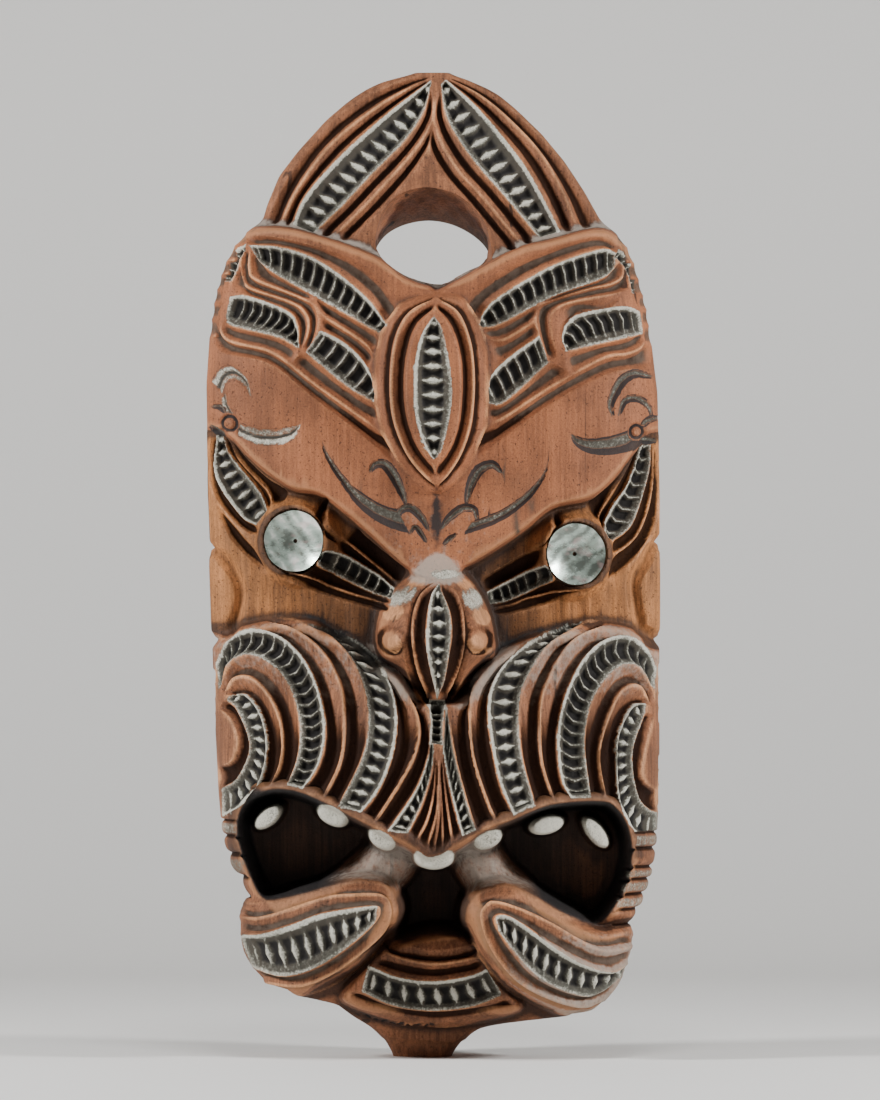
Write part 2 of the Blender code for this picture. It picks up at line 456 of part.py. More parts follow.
def curve_at(pairs, level):
    """A smooth reading of (level, value) pairs."""
    levels, values = np.array(pairs, float).T
    fine = np.linspace(levels[0], levels[-1], 800)
    read = np.interp(fine, levels, values)
    soft = np.convolve(np.pad(read, 4, mode="edge"), np.ones(9) / 9, mode="valid")
    return np.interp(level, fine, soft)


def half_width(side, level):
    return curve_at(LEFT_OUTLINE if side < 0 else RIGHT_OUTLINE, level)


def roundness(level):
    """Exponent of the cross-section: full on the face, flatter on the crown."""
    return np.interp(level, [0, 780, 840, 985], [2.3, 2.3, 3.6, 3.6])


def side_depth(level):
    arms = smoothstep(10, 60, level) * (1 - smoothstep(125, 165, level))
    crown = smoothstep(800, 985, level)
    plain = SIDE_DEPTH * (1 - 0.12 * crown)
    return plain + (ARM_SIDE_DEPTH - SIDE_DEPTH) * arms


def log_depth(level):
    """Depth of the plain block on its centre line, before any feature."""
    levels = [0, 30, 75, 150, 420, 560, 800, 880, 985]
    depths = [FOOT_DEPTH, FOOT_DEPTH + 0.004, 0.5 * (FOOT_DEPTH + CHIN_DEPTH), CHEEK_DEPTH, CHEEK_DEPTH,
              CHEEK_DEPTH, CROWN_DEPTH + 0.004, CROWN_DEPTH, CROWN_TIP_DEPTH]
    return curve_at(list(zip(levels, depths)), level)


class Canvas:
    """A field over the flat layout, in layout units both ways."""

    def __init__(self, step):
        self.step = step
        self.x = np.arange(-REACH, REACH + step, step)
        self.z = np.arange(-12, LAYOUT_UNITS + 12 + step, step)
        self.across, self.up = np.meshgrid(self.x, self.z)
        self.field = np.zeros(self.across.shape)

    def stamp(self, x, z, value):
        """Lays sampled values on the field, averaging those that share a cell."""
        column = np.rint((x - self.x[0]) / self.step).astype(int)
        row = np.rint((z - self.z[0]) / self.step).astype(int)
        inside = (column >= 0) & (column < len(self.x)) & (row >= 0) & (row < len(self.z))
        cell = row[inside] * len(self.x) + column[inside]
        low, high = cell.min(), cell.max() + 1
        count = np.bincount(cell - low, minlength=high - low)
        total = np.bincount(cell - low, weights=value[inside], minlength=high - low)
        hit = np.flatnonzero(count)
        self.field.ravel()[hit + low] = total[hit] / count[hit]

    def read(self, x, z):
        """Bilinear reading of the field at scattered places."""
        column = np.clip((x - self.x[0]) / self.step, 0, len(self.x) - 1.001)
        row = np.clip((z - self.z[0]) / self.step, 0, len(self.z) - 1.001)
        left, low = column.astype(int), row.astype(int)
        right_share, top_share = column - left, row - low
        flat, width = self.field.ravel(), len(self.x)
        base = low * width + left
        lower = flat[base] * (1 - right_share) + flat[base + 1] * right_share
        upper = flat[base + width] * (1 - right_share) + flat[base + width + 1] * right_share
        return lower * (1 - top_share) + upper * top_share


def inside_distance(canvas, points, margin=30):
    """Distance from a closed outline, positive inside it and negative outside."""
    outline = spline(points, 5, closed=True)
    far = np.full(canvas.across.shape, -float(margin))
    columns = (canvas.x > outline[:, 0].min() - margin) & (canvas.x < outline[:, 0].max() + margin)
    rows = (canvas.z > outline[:, 1].min() - margin) & (canvas.z < outline[:, 1].max() + margin)
    x, z = np.meshgrid(canvas.x[columns], canvas.z[rows])
    nearest = np.full(x.shape, np.inf)
    inside = np.zeros(x.shape, bool)
    for (ax, az), (bx, bz) in zip(outline, np.roll(outline, -1, axis=0)):
        dx, dz = bx - ax, bz - az
        share = np.clip(((x - ax) * dx + (z - az) * dz) / max(dx * dx + dz * dz, 1e-9), 0, 1)
        nearest = np.minimum(nearest, (x - ax - share * dx) ** 2 + (z - az - share * dz) ** 2)
        if az != bz:
            inside ^= ((az > z) != (bz > z)) & (x < dx * (z - az) / dz + ax)
    signed = np.where(inside, 1, -1) * np.sqrt(nearest)
    far[np.ix_(rows, columns)] = np.maximum(signed, -margin)
    return far


def line_distance(canvas, points):
    """Distance from an open line."""
    line = spline(points, 4)
    nearest = np.full(canvas.across.shape, np.inf)
    for (ax, az), (bx, bz) in zip(line, line[1:]):
        dx, dz = bx - ax, bz - az
        share = ((canvas.across - ax) * dx + (canvas.up - az) * dz) / max(dx * dx + dz * dz, 1e-9)
        share = np.clip(share, 0, 1)
        off_x, off_z = canvas.across - ax - share * dx, canvas.up - az - share * dz
        nearest = np.minimum(nearest, off_x**2 + off_z**2)
    return np.sqrt(nearest)


def dome(distance, reach):
    """A rounded rise from an outline to its full height at the given distance inside."""
    share = np.clip(distance / reach, 0, 1)
    return np.sqrt(1 - (1 - share) ** 2)


def blend(below, above, share):
    return below * (1 - share) + above * share


def relief_depths():
    """Depth, in metres, of the front before any line is cut, as the block's own centre depth."""
    canvas = Canvas(2.0)
    x, z = canvas.across, canvas.up
    depth = log_depth(z)
    centre = np.exp(-((x / 70) ** 2))

    brow = inside_distance(canvas, REGIONS["brow"])
    brow_depth = BROW_DEPTH + (BRIDGE_DEPTH - BROW_DEPTH) * centre * smoothstep(*BROW_SWELL, z)
    depth = blend(depth, brow_depth, smoothstep(-1.5, 4.5, brow))

    lozenge = inside_distance(canvas, REGIONS["lozenge"])
    lozenge_depth = BRIDGE_DEPTH + (LOZENGE_DEPTH - BRIDGE_DEPTH) * dome(lozenge, 46)
    depth = blend(depth, lozenge_depth, smoothstep(-1, 3, lozenge))

    muzzle = inside_distance(canvas, REGIONS["muzzle"])
    lip_rim = LIP_RIM_LEVEL + LIP_RIM_SLOPE * np.minimum(np.abs(x), LIP_RIM_REACH)
    down = np.clip((MUZZLE_TOP - z) / (MUZZLE_TOP - lip_rim), 0, 1)
    lip_depth = LIP_TOP_DEPTH + (LIP_RIM_DEPTH - LIP_TOP_DEPTH) * np.sin(0.5 * np.pi * down)
    lip_depth = blend(lip_depth, JAW_DEPTH, smoothstep(*LIP_FALL, z))
    fade = smoothstep(-1.5, 5, muzzle) * smoothstep(*MUZZLE_END, z)
    depth = blend(depth, lip_depth, fade)

    chin = inside_distance(canvas, REGIONS["chin"])
    chin_depth = CHIN_DEPTH - CHIN_STEP_DEPTH * smoothstep(*CHIN_STEP, z)
    chin_depth = chin_depth - CHIN_FALL_DEPTH * smoothstep(*CHIN_FALL, z)
    depth = blend(depth, chin_depth, smoothstep(-2, 5, chin))

    mouth = inside_distance(canvas, REGIONS["mouth"], 60)
    floor = np.full(x.shape, MOUTH_BACK_WALL)
    for line, width in STEMS:
        stem = dome(width - line_distance(canvas, line), width * 0.8)
        floor = np.maximum(floor, MOUTH_BACK_WALL + (STEM_DEPTH - MOUTH_BACK_WALL) * stem)
    inner = smoothstep(1, 13, mouth)
    depth = blend(depth, floor, inner)
    for tooth_x, tooth_z, long, short, turn in TEETH:
        cosine, sine = math.cos(math.radians(turn)), math.sin(math.radians(turn))
        along = (x - tooth_x) * cosine + (z - tooth_z) * sine
        aside = (z - tooth_z) * cosine - (x - tooth_x) * sine
        bump = smoothstep(1.25, 0.85, np.sqrt((along / long) ** 2 + (aside / short) ** 2))
        depth = np.maximum(depth, blend(depth, TOOTH_DEPTH, bump * smoothstep(-2, 3, mouth)))

    for side in ("arm_left", "arm_right"):
        arm = inside_distance(canvas, REGIONS[side], 50)
        arm_depth = ARM_EDGE_DEPTH + (ARM_DEPTH - ARM_EDGE_DEPTH) * dome(arm, 42)
        depth = blend(depth, arm_depth, smoothstep(-1.5, 4, arm))

    nose = inside_distance(canvas, REGIONS["nose"], 60)
    peak = curve_at(NOSE_PROFILE, z)
    root = np.minimum(depth, peak)
    nose_depth = root + (peak - root) * dome(nose, 40)
    depth = np.where(nose > 0, np.maximum(depth, nose_depth), depth)
    for knob_x, knob_z in NOSTRILS:
        near = np.hypot(x - knob_x, z - knob_z)
        depth = depth - NOSTRIL_GROOVE_DEPTH * smoothstep(17, 12, near)
        depth = depth + (NOSTRIL_GROOVE_DEPTH + NOSTRIL_RISE) * smoothstep(12, 7, near)

    canvas.field = blurred(depth)
    return canvas


def tooth_height(kind, along, across, pitch, bend):
    """Height of a row of teeth, from 0 on the panel's floor to 1."""
    centred = 2 * across - 1
    if kind == "pyramid":
        nearest = np.abs(along / pitch % 1 - 0.5) * 2
        return 1.0 - np.minimum(np.maximum(nearest * 1.1, np.abs(centred) * 1.25), 1)
    phase = (along / pitch + bend * np.abs(centred)) % 1
    return np.clip(1 - np.abs(phase - 0.5) / 0.24, 0, 1)


def cut_strip(canvas, first, second, height):
    """Cuts the band between two crests; height(along, across) is in metres."""
    one, two = crest(first), crest(second)
    length = max(length_of(one), length_of(two))
    width = np.hypot(*(resampled(one, 20) - resampled(two, 20)).T).max()
    steps_along = max(int(length / canvas.step * 1.7), 8)
    steps_across = max(int(width / canvas.step * 1.9), 6)
    one, two = resampled(one, steps_along), resampled(two, steps_along)
    middle = (one + two) / 2
    along = np.concatenate([[0], np.cumsum(np.hypot(*np.diff(middle, axis=0).T))])
    gap = np.hypot(*(one - two).T)
    across = np.linspace(0, 1, steps_across)
    t, s = np.meshgrid(across, along)
    x = one[:, :1] * (1 - t) + two[:, :1] * t
    z = one[:, 1:] * (1 - t) + two[:, 1:] * t
    wide = np.broadcast_to(gap[:, None], t.shape)
    canvas.stamp(x.ravel(), z.ravel(), height(s, t, wide, along[-1]).ravel())


def flute(depth):
    """A gouged hollow; a narrow one is shallower."""
    def height(along, across, gap, length):
        run_out = smoothstep(0, 7, along) * smoothstep(0, 7, length - along)
        full = np.minimum(1, gap / 11)
        return -depth * full * (0.35 + 0.65 * run_out) * (1 - np.abs(2 * across - 1) ** 2.0)
    return height


def panel(kind, pitch, bend):
    """A sunk floor with steep edges and a row of teeth."""
    def height(along, across, gap, length):
        count = max(round(length / pitch), 1)
        edge = np.minimum(across, 1 - across) * gap
        ends = np.minimum(along, length - along)
        sunk = smoothstep(1.2, 4.2, np.minimum(edge, ends))
        teeth = tooth_height(kind, along, across, length / count, bend) * 0.82
        return -PANEL_DEPTH * sunk * (1 - teeth) * np.minimum(1, gap / 12)
    return height


def carving():
    """Height of all carved lines over the front, in metres."""
    canvas = Canvas(CANVAS_STEP)
    for first, second in PLAIN_FLUTES:
        cut_strip(canvas, first, second, flute(FLUTE_DEPTH))
    for first, second in LIP_FLUTES:
        cut_strip(canvas, first, second, flute(LIP_FLUTE_DEPTH))
    for first, second, kind, pitch, bend in PANELS:
        cut_strip(canvas, first, second, panel(kind, pitch, bend))
    for spine, width in CURLS:
        cut_curl(canvas, spine, width)
    for side in ("ear_left", "ear_right"):
        ear = inside_distance(canvas, REGIONS[side], 24)
        groove = smoothstep(-16, -6, ear) * smoothstep(1, -5, ear)
        canvas.field += EAR_KNOB_RISE * dome(ear, 12) - EAR_GROOVE_DEPTH * groove
    cut_sides(canvas)
    cut_jaws(canvas)
    canvas.field = blurred(canvas.field)
    return canvas


def cut_curl(canvas, spine, width):
    """A tapering V cut along a spine."""
    line = resampled(spline(spine), 80)
    heading = np.gradient(line, axis=0)
    normal = np.column_stack([-heading[:, 1], heading[:, 0]]) / np.hypot(*heading.T)[:, None]
    taper = np.sin(np.linspace(0.12, math.pi - 0.12, len(line))) ** 0.7
    across = np.linspace(-0.5, 0.5, int(width / canvas.step * 2) + 3)
    x = line[:, :1] + normal[:, :1] * across * width * taper[:, None]
    z = line[:, 1:] + normal[:, 1:] * across * width * taper[:, None]
    value = -CURL_DEPTH * (1 - np.abs(2 * across)) * taper[:, None]
    canvas.stamp(x.ravel(), z.ravel(), value.ravel())


def cut_sides(canvas):
    """Flutes that run back round the sides from the brow, and the rings that close the spirals."""
    for side, levels in ((-1, SIDE_LEVELS_LEFT), (1, SIDE_LEVELS_RIGHT)):
        for upper, lower in zip(levels, levels[1:]):
            along = np.linspace(0, 1, 80)[:, None]
            across = np.linspace(0, 1, 30)[None]
            start_x = half_width(side, (upper + lower) / 2) - SIDE_FLUTE_START
            x = side * (start_x + SIDE_FLUTE_RUN * along + 0 * across)
            z = lower + (upper - lower) * across - SIDE_FLUTE_SAG * along**2
            fade = smoothstep(1, 0.7, along)
            value = -FLUTE_DEPTH * fade * (1 - np.abs(2 * across - 1) ** 2)
            canvas.stamp(x.ravel(), z.ravel(), value.ravel())
    for side, centre_x, centre_z, first, end, spacing, stretch in SPIRAL_SIDES:
        for inner in np.arange(first, end, spacing):
            angle = np.linspace(-0.5 * math.pi, 0.5 * math.pi, 140)[:, None]
            across = np.linspace(0, 1, 24)[None]
            radius = inner + spacing * across
            x = side * (centre_x + radius * np.cos(angle) * SPIRAL_WIDTH)
            z = centre_z + radius * np.sin(angle) * stretch
            value = -LIP_FLUTE_DEPTH * 0.8 * (1 - np.abs(2 * across - 1) ** 2) + 0 * angle
            canvas.stamp(x.ravel(), z.ravel(), value.ravel())


def cut_jaws(canvas):
    """Rounded ridges that run back round the jaws from the mouth's rim."""
    along = np.linspace(0, 1, 110)[:, None]
    across = np.linspace(0, 1, 36)[None]
    fade = smoothstep(0, 0.06, along) * smoothstep(1, 0.75, along)
    for side, top_x, low_x, levels in JAW_RIDGES:
        for upper, lower in zip(levels, levels[1:]):
            start_x = curve_at([(levels[-1], low_x), (levels[0], top_x)], (upper + lower) / 2)
            x = side * (start_x + JAW_RUN * along + 0 * across)
            z = lower + (upper - lower) * across + 0 * along
            value = -JAW_GROOVE_DEPTH * fade * np.abs(2 * across - 1) ** 3
            canvas.stamp(x.ravel(), z.ravel(), value.ravel())


def section(side, level, steps=90):
    """The plain block's outline at one level, from the centre round to the back edge.

    Gives arc length, layout x (which runs on past the front outline down the side), true x
    and the share of the front's depth at each place, all in layout units but the last.
    """
    width = half_width(side, level)
    edge = side_depth(level) / UNIT
    front = log_depth(level) / UNIT - edge
    power = roundness(level)
    turn = np.linspace(0, 0.5 * math.pi, steps)
    across = np.sin(turn)
    share = (1 - across**power) ** (1 / power)
    share[-1] = 0
    back_width = width * curve_at(BACK_SHARE, level)
    down = np.linspace(0, 1, 24)[1:]
    wall = math.hypot(width - back_width, edge)
    layout_x = np.concatenate([width * across, width + wall * down])
    true_x = np.concatenate([width * across, width + (back_width - width) * down])
    depth = np.concatenate([edge + front * share, edge * (1 - down)])
    arc = np.concatenate([[0], np.cumsum(np.hypot(np.diff(true_x), np.diff(depth)))])
    return arc, layout_x, true_x, np.concatenate([share, 0 * down]), depth


def eye_plane(side):
    """Centre of a shell's rim and the turned frame it sits in."""
    x, z = EYES[side]
    outward = -1 if x < 0 else 1
    centre = Vector((x * UNIT, -EYE_DEPTH, z * UNIT))
    facing = Vector((outward * math.sin(EYE_TURN), -math.cos(EYE_TURN), 0))
    return centre, facing


def set_eyes(points):
    """Flattens the wood round each shell into a turned disc with a raised ring."""
    for side in EYES:
        centre, facing = eye_plane(side)
        centre = np.array(centre)
        facing = np.array(facing)
        rise = (points - centre) @ facing
        flat = points - rise[..., None] * facing
        radius = np.linalg.norm(flat - centre, axis=-1)
        ring_outer = SHELL_RADIUS + SOCKET_RIM_WIDTH
        ring = SOCKET_RIM_RISE * smoothstep(ring_outer + SOCKET_RIM_SLOPE, ring_outer, radius)
        target = ring - SOCKET_RIM_RISE + SHELL_SET_BACK
        share = smoothstep(ring_outer + SOCKET_BLEND, ring_outer, radius)
        share = share * (np.abs(rise) < SOCKET_REACH)
        points = points + ((target - rise) * share)[..., None] * facing
    return points


def front_points():
    """Places of a regular grid laid over the front and sides."""
    depths, carved = relief_depths(), carving()
    fine = np.linspace(0, LAYOUT_UNITS, 2000)
    narrowing = np.gradient(half_width(-1, fine) + half_width(1, fine), fine) / 2
    along = np.concatenate([[0], np.cumsum(np.hypot(1, narrowing)[1:] * np.diff(fine))])
    rows = int(along[-1] / GRID_STEP)
    levels = np.interp(np.linspace(0, along[-1], rows), along, fine)
    columns = int(300 / GRID_STEP)
    layout = np.zeros((rows, 2 * columns + 1, 2))
    base = np.zeros((rows, 2 * columns + 1, 3))
    for row, level in enumerate(levels):
        for side in (-1, 1):
            arc, layout_x, true_x, share, depth = section(side, level)
            even = np.linspace(0, arc[-1], columns + 1)
            x = np.interp(even, arc, layout_x)
            raised = depths.read(side * x, np.full(x.shape, level)) / UNIT
            front_share = np.interp(even, arc, share)
            edge = side_depth(level) / UNIT
            plain = np.interp(even, arc, depth)
            y = np.where(x <= half_width(side, level) + 1e-6, edge + (raised - edge) * front_share, plain)
            place = columns + side * np.arange(columns + 1)
            layout[row, place] = np.column_stack([side * x, np.full(x.shape, level)])
            base[row, place] = np.column_stack([side * np.interp(even, arc, true_x), -y,
                                                np.full(x.shape, level)])
    base = set_eyes(base * UNIT)
    soft = np.stack([blurred(base[..., axis], 6) for axis in range(3)], axis=-1)
    normal = np.cross(np.gradient(soft, axis=1), np.gradient(soft, axis=0))
    normal = normal / np.linalg.norm(normal, axis=-1, keepdims=True)
    relief = carved.read(layout[..., 0].ravel(), layout[..., 1].ravel()).reshape(layout.shape[:2])
    keep = np.ones(relief.shape)
    keep[:, 0] = keep[:, -1] = 0
    keep[0] = keep[-1] = 0
    points = base + normal * (relief * keep)[..., None]
    return points


def new_object(name, mesh, collection, material=None):
    item = bpy.data.objects.new(name, mesh)
    collection.objects.link(item)
    if material:
        mesh.materials.append(material)
    return item


def plain_material(name, colour, roughness):
    material = bpy.data.materials.new(name)
    material.use_nodes = True
    shader = material.node_tree.nodes["Principled BSDF"]
    shader.inputs["Base Color"].default_value = (*colour, 1)
    shader.inputs["Roughness"].default_value = roughness
    shader.inputs["Metallic"].default_value = 0
    return material


def make_body(collection):
    """The wooden mask: a grid wrapped over the block, closed flat at the back and the ends."""
    points = front_points()
    rows, columns = points.shape[:2]
    shape = bmesh.new()
    bmesh.ops.create_grid(shape, x_segments=columns - 1, y_segments=rows - 1, size=1)
    mesh = bpy.data.meshes.new("mask_body")
    shape.to_mesh(mesh)
    shape.free()
    mesh.vertices.foreach_set("co", points.reshape(-1).astype(np.float32))
    shape = bmesh.new()
    shape.from_mesh(mesh)
    shape.verts.ensure_lookup_table()
    corner = [shape.verts[i] for i in (0, columns - 1, rows * columns - 1, (rows - 1) * columns)]
    foot = shape.edges.new((corner[0], corner[1]))
    tip = shape.edges.new((corner[3], corner[2]))
    for row, edge in ((0, foot), (rows - 1, tip)):
        line = [shape.verts[row * columns + k] for k in range(columns)]
        rim = [shape.edges.get(pair) for pair in zip(line, line[1:])] + [edge]
        bmesh.ops.triangle_fill(shape, use_beauty=True, edges=rim)
    sides = [shape.verts[row * columns + k] for k in (0, columns - 1) for row in range(rows)]
    rim = [shape.edges.get(pair) for pair in zip(sides, sides[1:])]
    rim = [edge for edge in rim if edge] + [foot, tip]
    bmesh.ops.triangle_fill(shape, use_beauty=True, edges=rim)
    bmesh.ops.recalc_face_normals(shape, faces=shape.faces)
    shape.to_mesh(mesh)
    shape.free()
    body = new_object("mask_body", mesh, collection,
                      plain_material("carved_wood", (0.30, 0.15, 0.075), 0.62))
    body.data = with_fewer_faces(body)
    return body


def with_fewer_faces(body):
    """The same surface in fewer triangles, with the back, the foot and the tip kept flat."""
    thin = body.modifiers.new("fewer_faces", "DECIMATE")
    thin.ratio = BODY_FACES / sum(len(face.vertices) - 2 for face in body.data.polygons)
    evaluated = body.evaluated_get(bpy.context.evaluated_depsgraph_get())
    mesh = bpy.data.meshes.new_from_object(evaluated)
    body.modifiers.clear()
    for vertex in mesh.vertices:
        if vertex.co.y > -FLAT_TOLERANCE:
            vertex.co.y = 0
        for level in (0, MASK_HEIGHT):
            if abs(vertex.co.z - level) < FLAT_TOLERANCE:
                vertex.co.z = level
    return mesh


def turned(name, profile, collection, material=None):
    """A solid turned round its own Z axis from (radius, height) points of a closed profile."""
    mesh = bpy.data.meshes.new(name)
    count = len(profile)
    mesh.from_pydata([(r, 0, h) for r, h in profile], [(k, (k + 1) % count) for k in range(count)], [])
    item = new_object(name, mesh, collection, material)
    screw = item.modifiers.new("turn", "SCREW")
    screw.axis = "Z"
    screw.steps = screw.render_steps = SHELL_STEPS
    screw.use_merge_vertices = True
    screw.merge_threshold = 0.00001
    screw.use_smooth_shade = True
    return item


def shell_profile():
    """Dished shell of even thickness, its rim at height 0, listed down the outer side."""
    radii = [SHELL_HOLE_RADIUS + (SHELL_RADIUS - SHELL_HOLE_RADIUS) * k / SHELL_RINGS
             for k in range(SHELL_RINGS + 1)]
    face = [(r, -SHELL_DISH * (1 - (r / SHELL_RADIUS) ** 2)) for r in radii]
    back = [(r, h - SHELL_THICKNESS) for r, h in face]
    return face + back[::-1]


def socket_profile():
    """The room that a shell needs, open towards the front."""
    reach = SHELL_RADIUS + FIT_GAP
    radii = [reach * k / SHELL_RINGS for k in range(SHELL_RINGS, 0, -1)]
    floor = [(r, -SHELL_DISH * (1 - (min(r, SHELL_RADIUS) / SHELL_RADIUS) ** 2)
              - SHELL_THICKNESS - FIT_GAP) for r in radii]
    bottom = (0, -SHELL_DISH - SHELL_THICKNESS - FIT_GAP)
    return [(0, 3 * SHELL_DISH), (reach, 3 * SHELL_DISH)] + floor + [bottom]


def place_on_eye(item, side):
    centre, facing = eye_plane(side)
    item.matrix_world = Matrix.Translation(centre) @ facing.to_track_quat("Z", "Y").to_matrix().to_4x4()


def make_shell(side, collection):
    shell = turned(f"eye_shell_{side}", shell_profile(), collection,
                   plain_material(f"nacre_{side}", (0.42, 0.46, 0.40), 0.22))
    place_on_eye(shell, side)
    return shell


def make_hole_cutter(collection):
    """The crown's hole: it narrows from the arch at the front to the opening at the back."""
    front, back = [spline(HOLE_OUTLINES[end], 4, closed=True) for end in ("front", "back")]
    rings = [(back + share * (front - back), -share) for share in (-HOLE_PAST_BACK, HOLE_PAST_FRONT)]
    shape = bmesh.new()
    loops = []
    for outline, share in rings:
        depth = share * CROWN_DEPTH
        loops.append([shape.verts.new((x * UNIT, depth, z * UNIT)) for x, z in outline])
    inner, outer = loops
    for k, near in enumerate(inner):
        shape.faces.new((inner[k - 1], near, outer[k], outer[k - 1]))
    for loop in loops:
        shape.faces.new(loop)
    bmesh.ops.triangulate(shape, faces=shape.faces)
    bmesh.ops.recalc_face_normals(shape, faces=shape.faces)
    mesh = bpy.data.meshes.new("crown_hole")
    shape.to_mesh(mesh)
    shape.free()
    return new_object("crown_hole", mesh, collection)


def cut(item, cutter):
    step = item.modifiers.new(cutter.name, "BOOLEAN")
    step.operation = "DIFFERENCE"
    step.object = cutter
    cutter.hide_render = True
    cutter.display_type = "WIRE"


def to_mount_frame(items):
    """Moves everything from the foot to the mount point on the back."""
    root = bpy.data.objects.new("gable_mask_origin", None)
    items[0].users_collection[0].objects.link(root)
    root.location = (0, 0, -MOUNT_LEVEL)
    bpy.context.view_layer.update()
    for item in items:
        item.parent = root


def main():
    for item in list(bpy.data.objects):
        bpy.data.objects.remove(item, do_unlink=True)
    parts = bpy.data.collections.new("gable_mask")
    cutters = bpy.data.collections.new("cutters")
    for collection in (parts, cutters):
        bpy.context.scene.collection.children.link(collection)
    body = make_body(parts)
    items = [body]
    cutter = make_hole_cutter(cutters)
    cut(body, cutter)
    items.append(cutter)
    for side in EYES:
        items.append(make_shell(side, parts))
        socket = turned(f"socket_{side}", socket_profile(), cutters)
        place_on_eye(socket, side)
        cut(body, socket)
        items.append(socket)
    body.data.shade_smooth()
    body.data.set_sharp_from_angle(angle=math.radians(35))
    to_mount_frame(items)


main()
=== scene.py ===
"""Looks of a carved wooden gable mask: the finely carved body, its shell eyes and a plain stage."""

import math

import bmesh
import bpy
import numpy as np
from mathutils import Matrix, Vector


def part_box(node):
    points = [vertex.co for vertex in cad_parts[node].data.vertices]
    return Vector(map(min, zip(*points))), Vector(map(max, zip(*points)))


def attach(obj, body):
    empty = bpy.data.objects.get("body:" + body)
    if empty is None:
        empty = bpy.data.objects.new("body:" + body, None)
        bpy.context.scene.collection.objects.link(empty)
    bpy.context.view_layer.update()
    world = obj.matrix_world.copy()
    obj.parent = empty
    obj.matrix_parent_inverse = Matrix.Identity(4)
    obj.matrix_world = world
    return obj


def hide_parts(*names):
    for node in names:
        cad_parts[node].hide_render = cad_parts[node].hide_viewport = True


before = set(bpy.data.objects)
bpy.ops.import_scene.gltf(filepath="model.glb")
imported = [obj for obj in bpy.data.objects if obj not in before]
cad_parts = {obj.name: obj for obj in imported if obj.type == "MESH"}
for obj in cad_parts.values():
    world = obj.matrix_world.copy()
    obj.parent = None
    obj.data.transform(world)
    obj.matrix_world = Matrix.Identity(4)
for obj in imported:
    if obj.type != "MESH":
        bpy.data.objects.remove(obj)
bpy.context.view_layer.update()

bl_info = {
    "name": "Carved gable mask",
    "version": (1, 0, 0),
    "blender": (4, 5, 0),
    "location": "3D View > Sidebar > Mask",
    "description": "Builds a carved gable mask with shell eyes, and a plain stage for it",
    "category": "Object",
}

# Sizes of the wood and the shells, in metres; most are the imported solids' own
FOOT_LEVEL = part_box("mask_body")[0][2]
MASK_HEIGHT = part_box("mask_body")[1][2] - FOOT_LEVEL
SIDE_DEPTH = 0.036
ARM_SIDE_DEPTH = 0.060
FOOT_DEPTH = 0.052
CHIN_DEPTH = 0.088
CHEEK_DEPTH = 0.066
BROW_DEPTH = 0.089
BRIDGE_DEPTH = 0.095
LOZENGE_DEPTH = 0.112
NOSE_DEPTH = 0.146
LIP_TOP_DEPTH = 0.090
LIP_RIM_DEPTH = 0.130
JAW_DEPTH = 0.104
ARM_DEPTH = 0.126
ARM_EDGE_DEPTH = 0.098
MOUTH_BACK_WALL = 0.030
STEM_DEPTH = 0.082
TOOTH_DEPTH = 0.112
CROWN_DEPTH = 0.058
CROWN_TIP_DEPTH = 0.042
EAR_KNOB_RISE = 0.0005
EAR_GROOVE_DEPTH = 0.0040
EYE_DEPTH = 0.070
EYE_TURN = math.radians(17)
SHELL_RADIUS = 0.0205
SHELL_THICKNESS = 0.0020
SHELL_DISH = 0.0040
SHELL_HOLE_RADIUS = 0.0014
SHELL_SET_BACK = 0.0012
FIT_GAP = 0.0003
SOCKET_RIM_WIDTH = 0.0030
SOCKET_RIM_RISE = 0.0022
SOCKET_RIM_SLOPE = 0.0025
SOCKET_BLEND = 0.0090
SOCKET_REACH = 0.040
NOSTRIL_GROOVE_DEPTH = 0.0065
NOSTRIL_RISE = 0.0025
# The layout divides the height into this many units; the carving is drawn in them, x from the
# centre line and z above the foot, so that it keeps its proportions when the height changes.
LAYOUT_UNITS = 985
UNIT = MASK_HEIGHT / LAYOUT_UNITS
REACH = 330
CHIP_DEPTH = 0.0012
SEAT_ROOM = 0.0006
CANVAS_STEP = 0.75
DEPTH_STEP = 1.4
CREST_HEIGHT = 0.0022
LEDGE_HEIGHT = 0.0060
SHELL_STEPS = 96
SHELL_RINGS = 14
RIM_WAVE = 0.0007
HOLE_STEPS = 160
HOLE_RINGS = 26
HOLE_SOLVER = "MANIFOLD"
# The hole's cutter, from behind the back to past the front, as shares of the crown's depth, and the
# depth of the chisel's facets in its walls, in layout units
HOLE_REACH = (-0.05, 2.2)
HOLE_FACET = 0.9

# The camera stands level and far off, and its frame is the photograph's in layout units
PHOTO_HEIGHT = 1100
VIEW_CENTRE = (5, 507)
CAMERA_DISTANCE = 6.0
OUTLINE_DEPTH = 0.05
SENSOR_HEIGHT = 36
# The stage, in metres: half its width, where it starts, its back wall, that wall's height, its bend
STAGE_HALF_WIDTH = 6.0
STAGE_FRONT = -9.0
STAGE_BACK = 1.8
STAGE_RISE = 4.0
STAGE_BEND = 0.7
STAGE_STEPS = 12
FAR_CLIP = 40
KEY_PLACE, KEY_AIM, KEY_SIZE = (-1.75, -0.70, 0.75), (0, 0, 0.02), 0.30
FILL_PLACE, FILL_AIM, FILL_SIZE = (1.75, -0.80, 0.55), (0, 0, 0), 0.30
TOP_PLACE, TOP_AIM, TOP_SIZE = (0.1, -0.9, 1.7), (0, -0.05, 0), 0.5
ROOM_COLOUR = (1, 0.97, 0.94, 1)
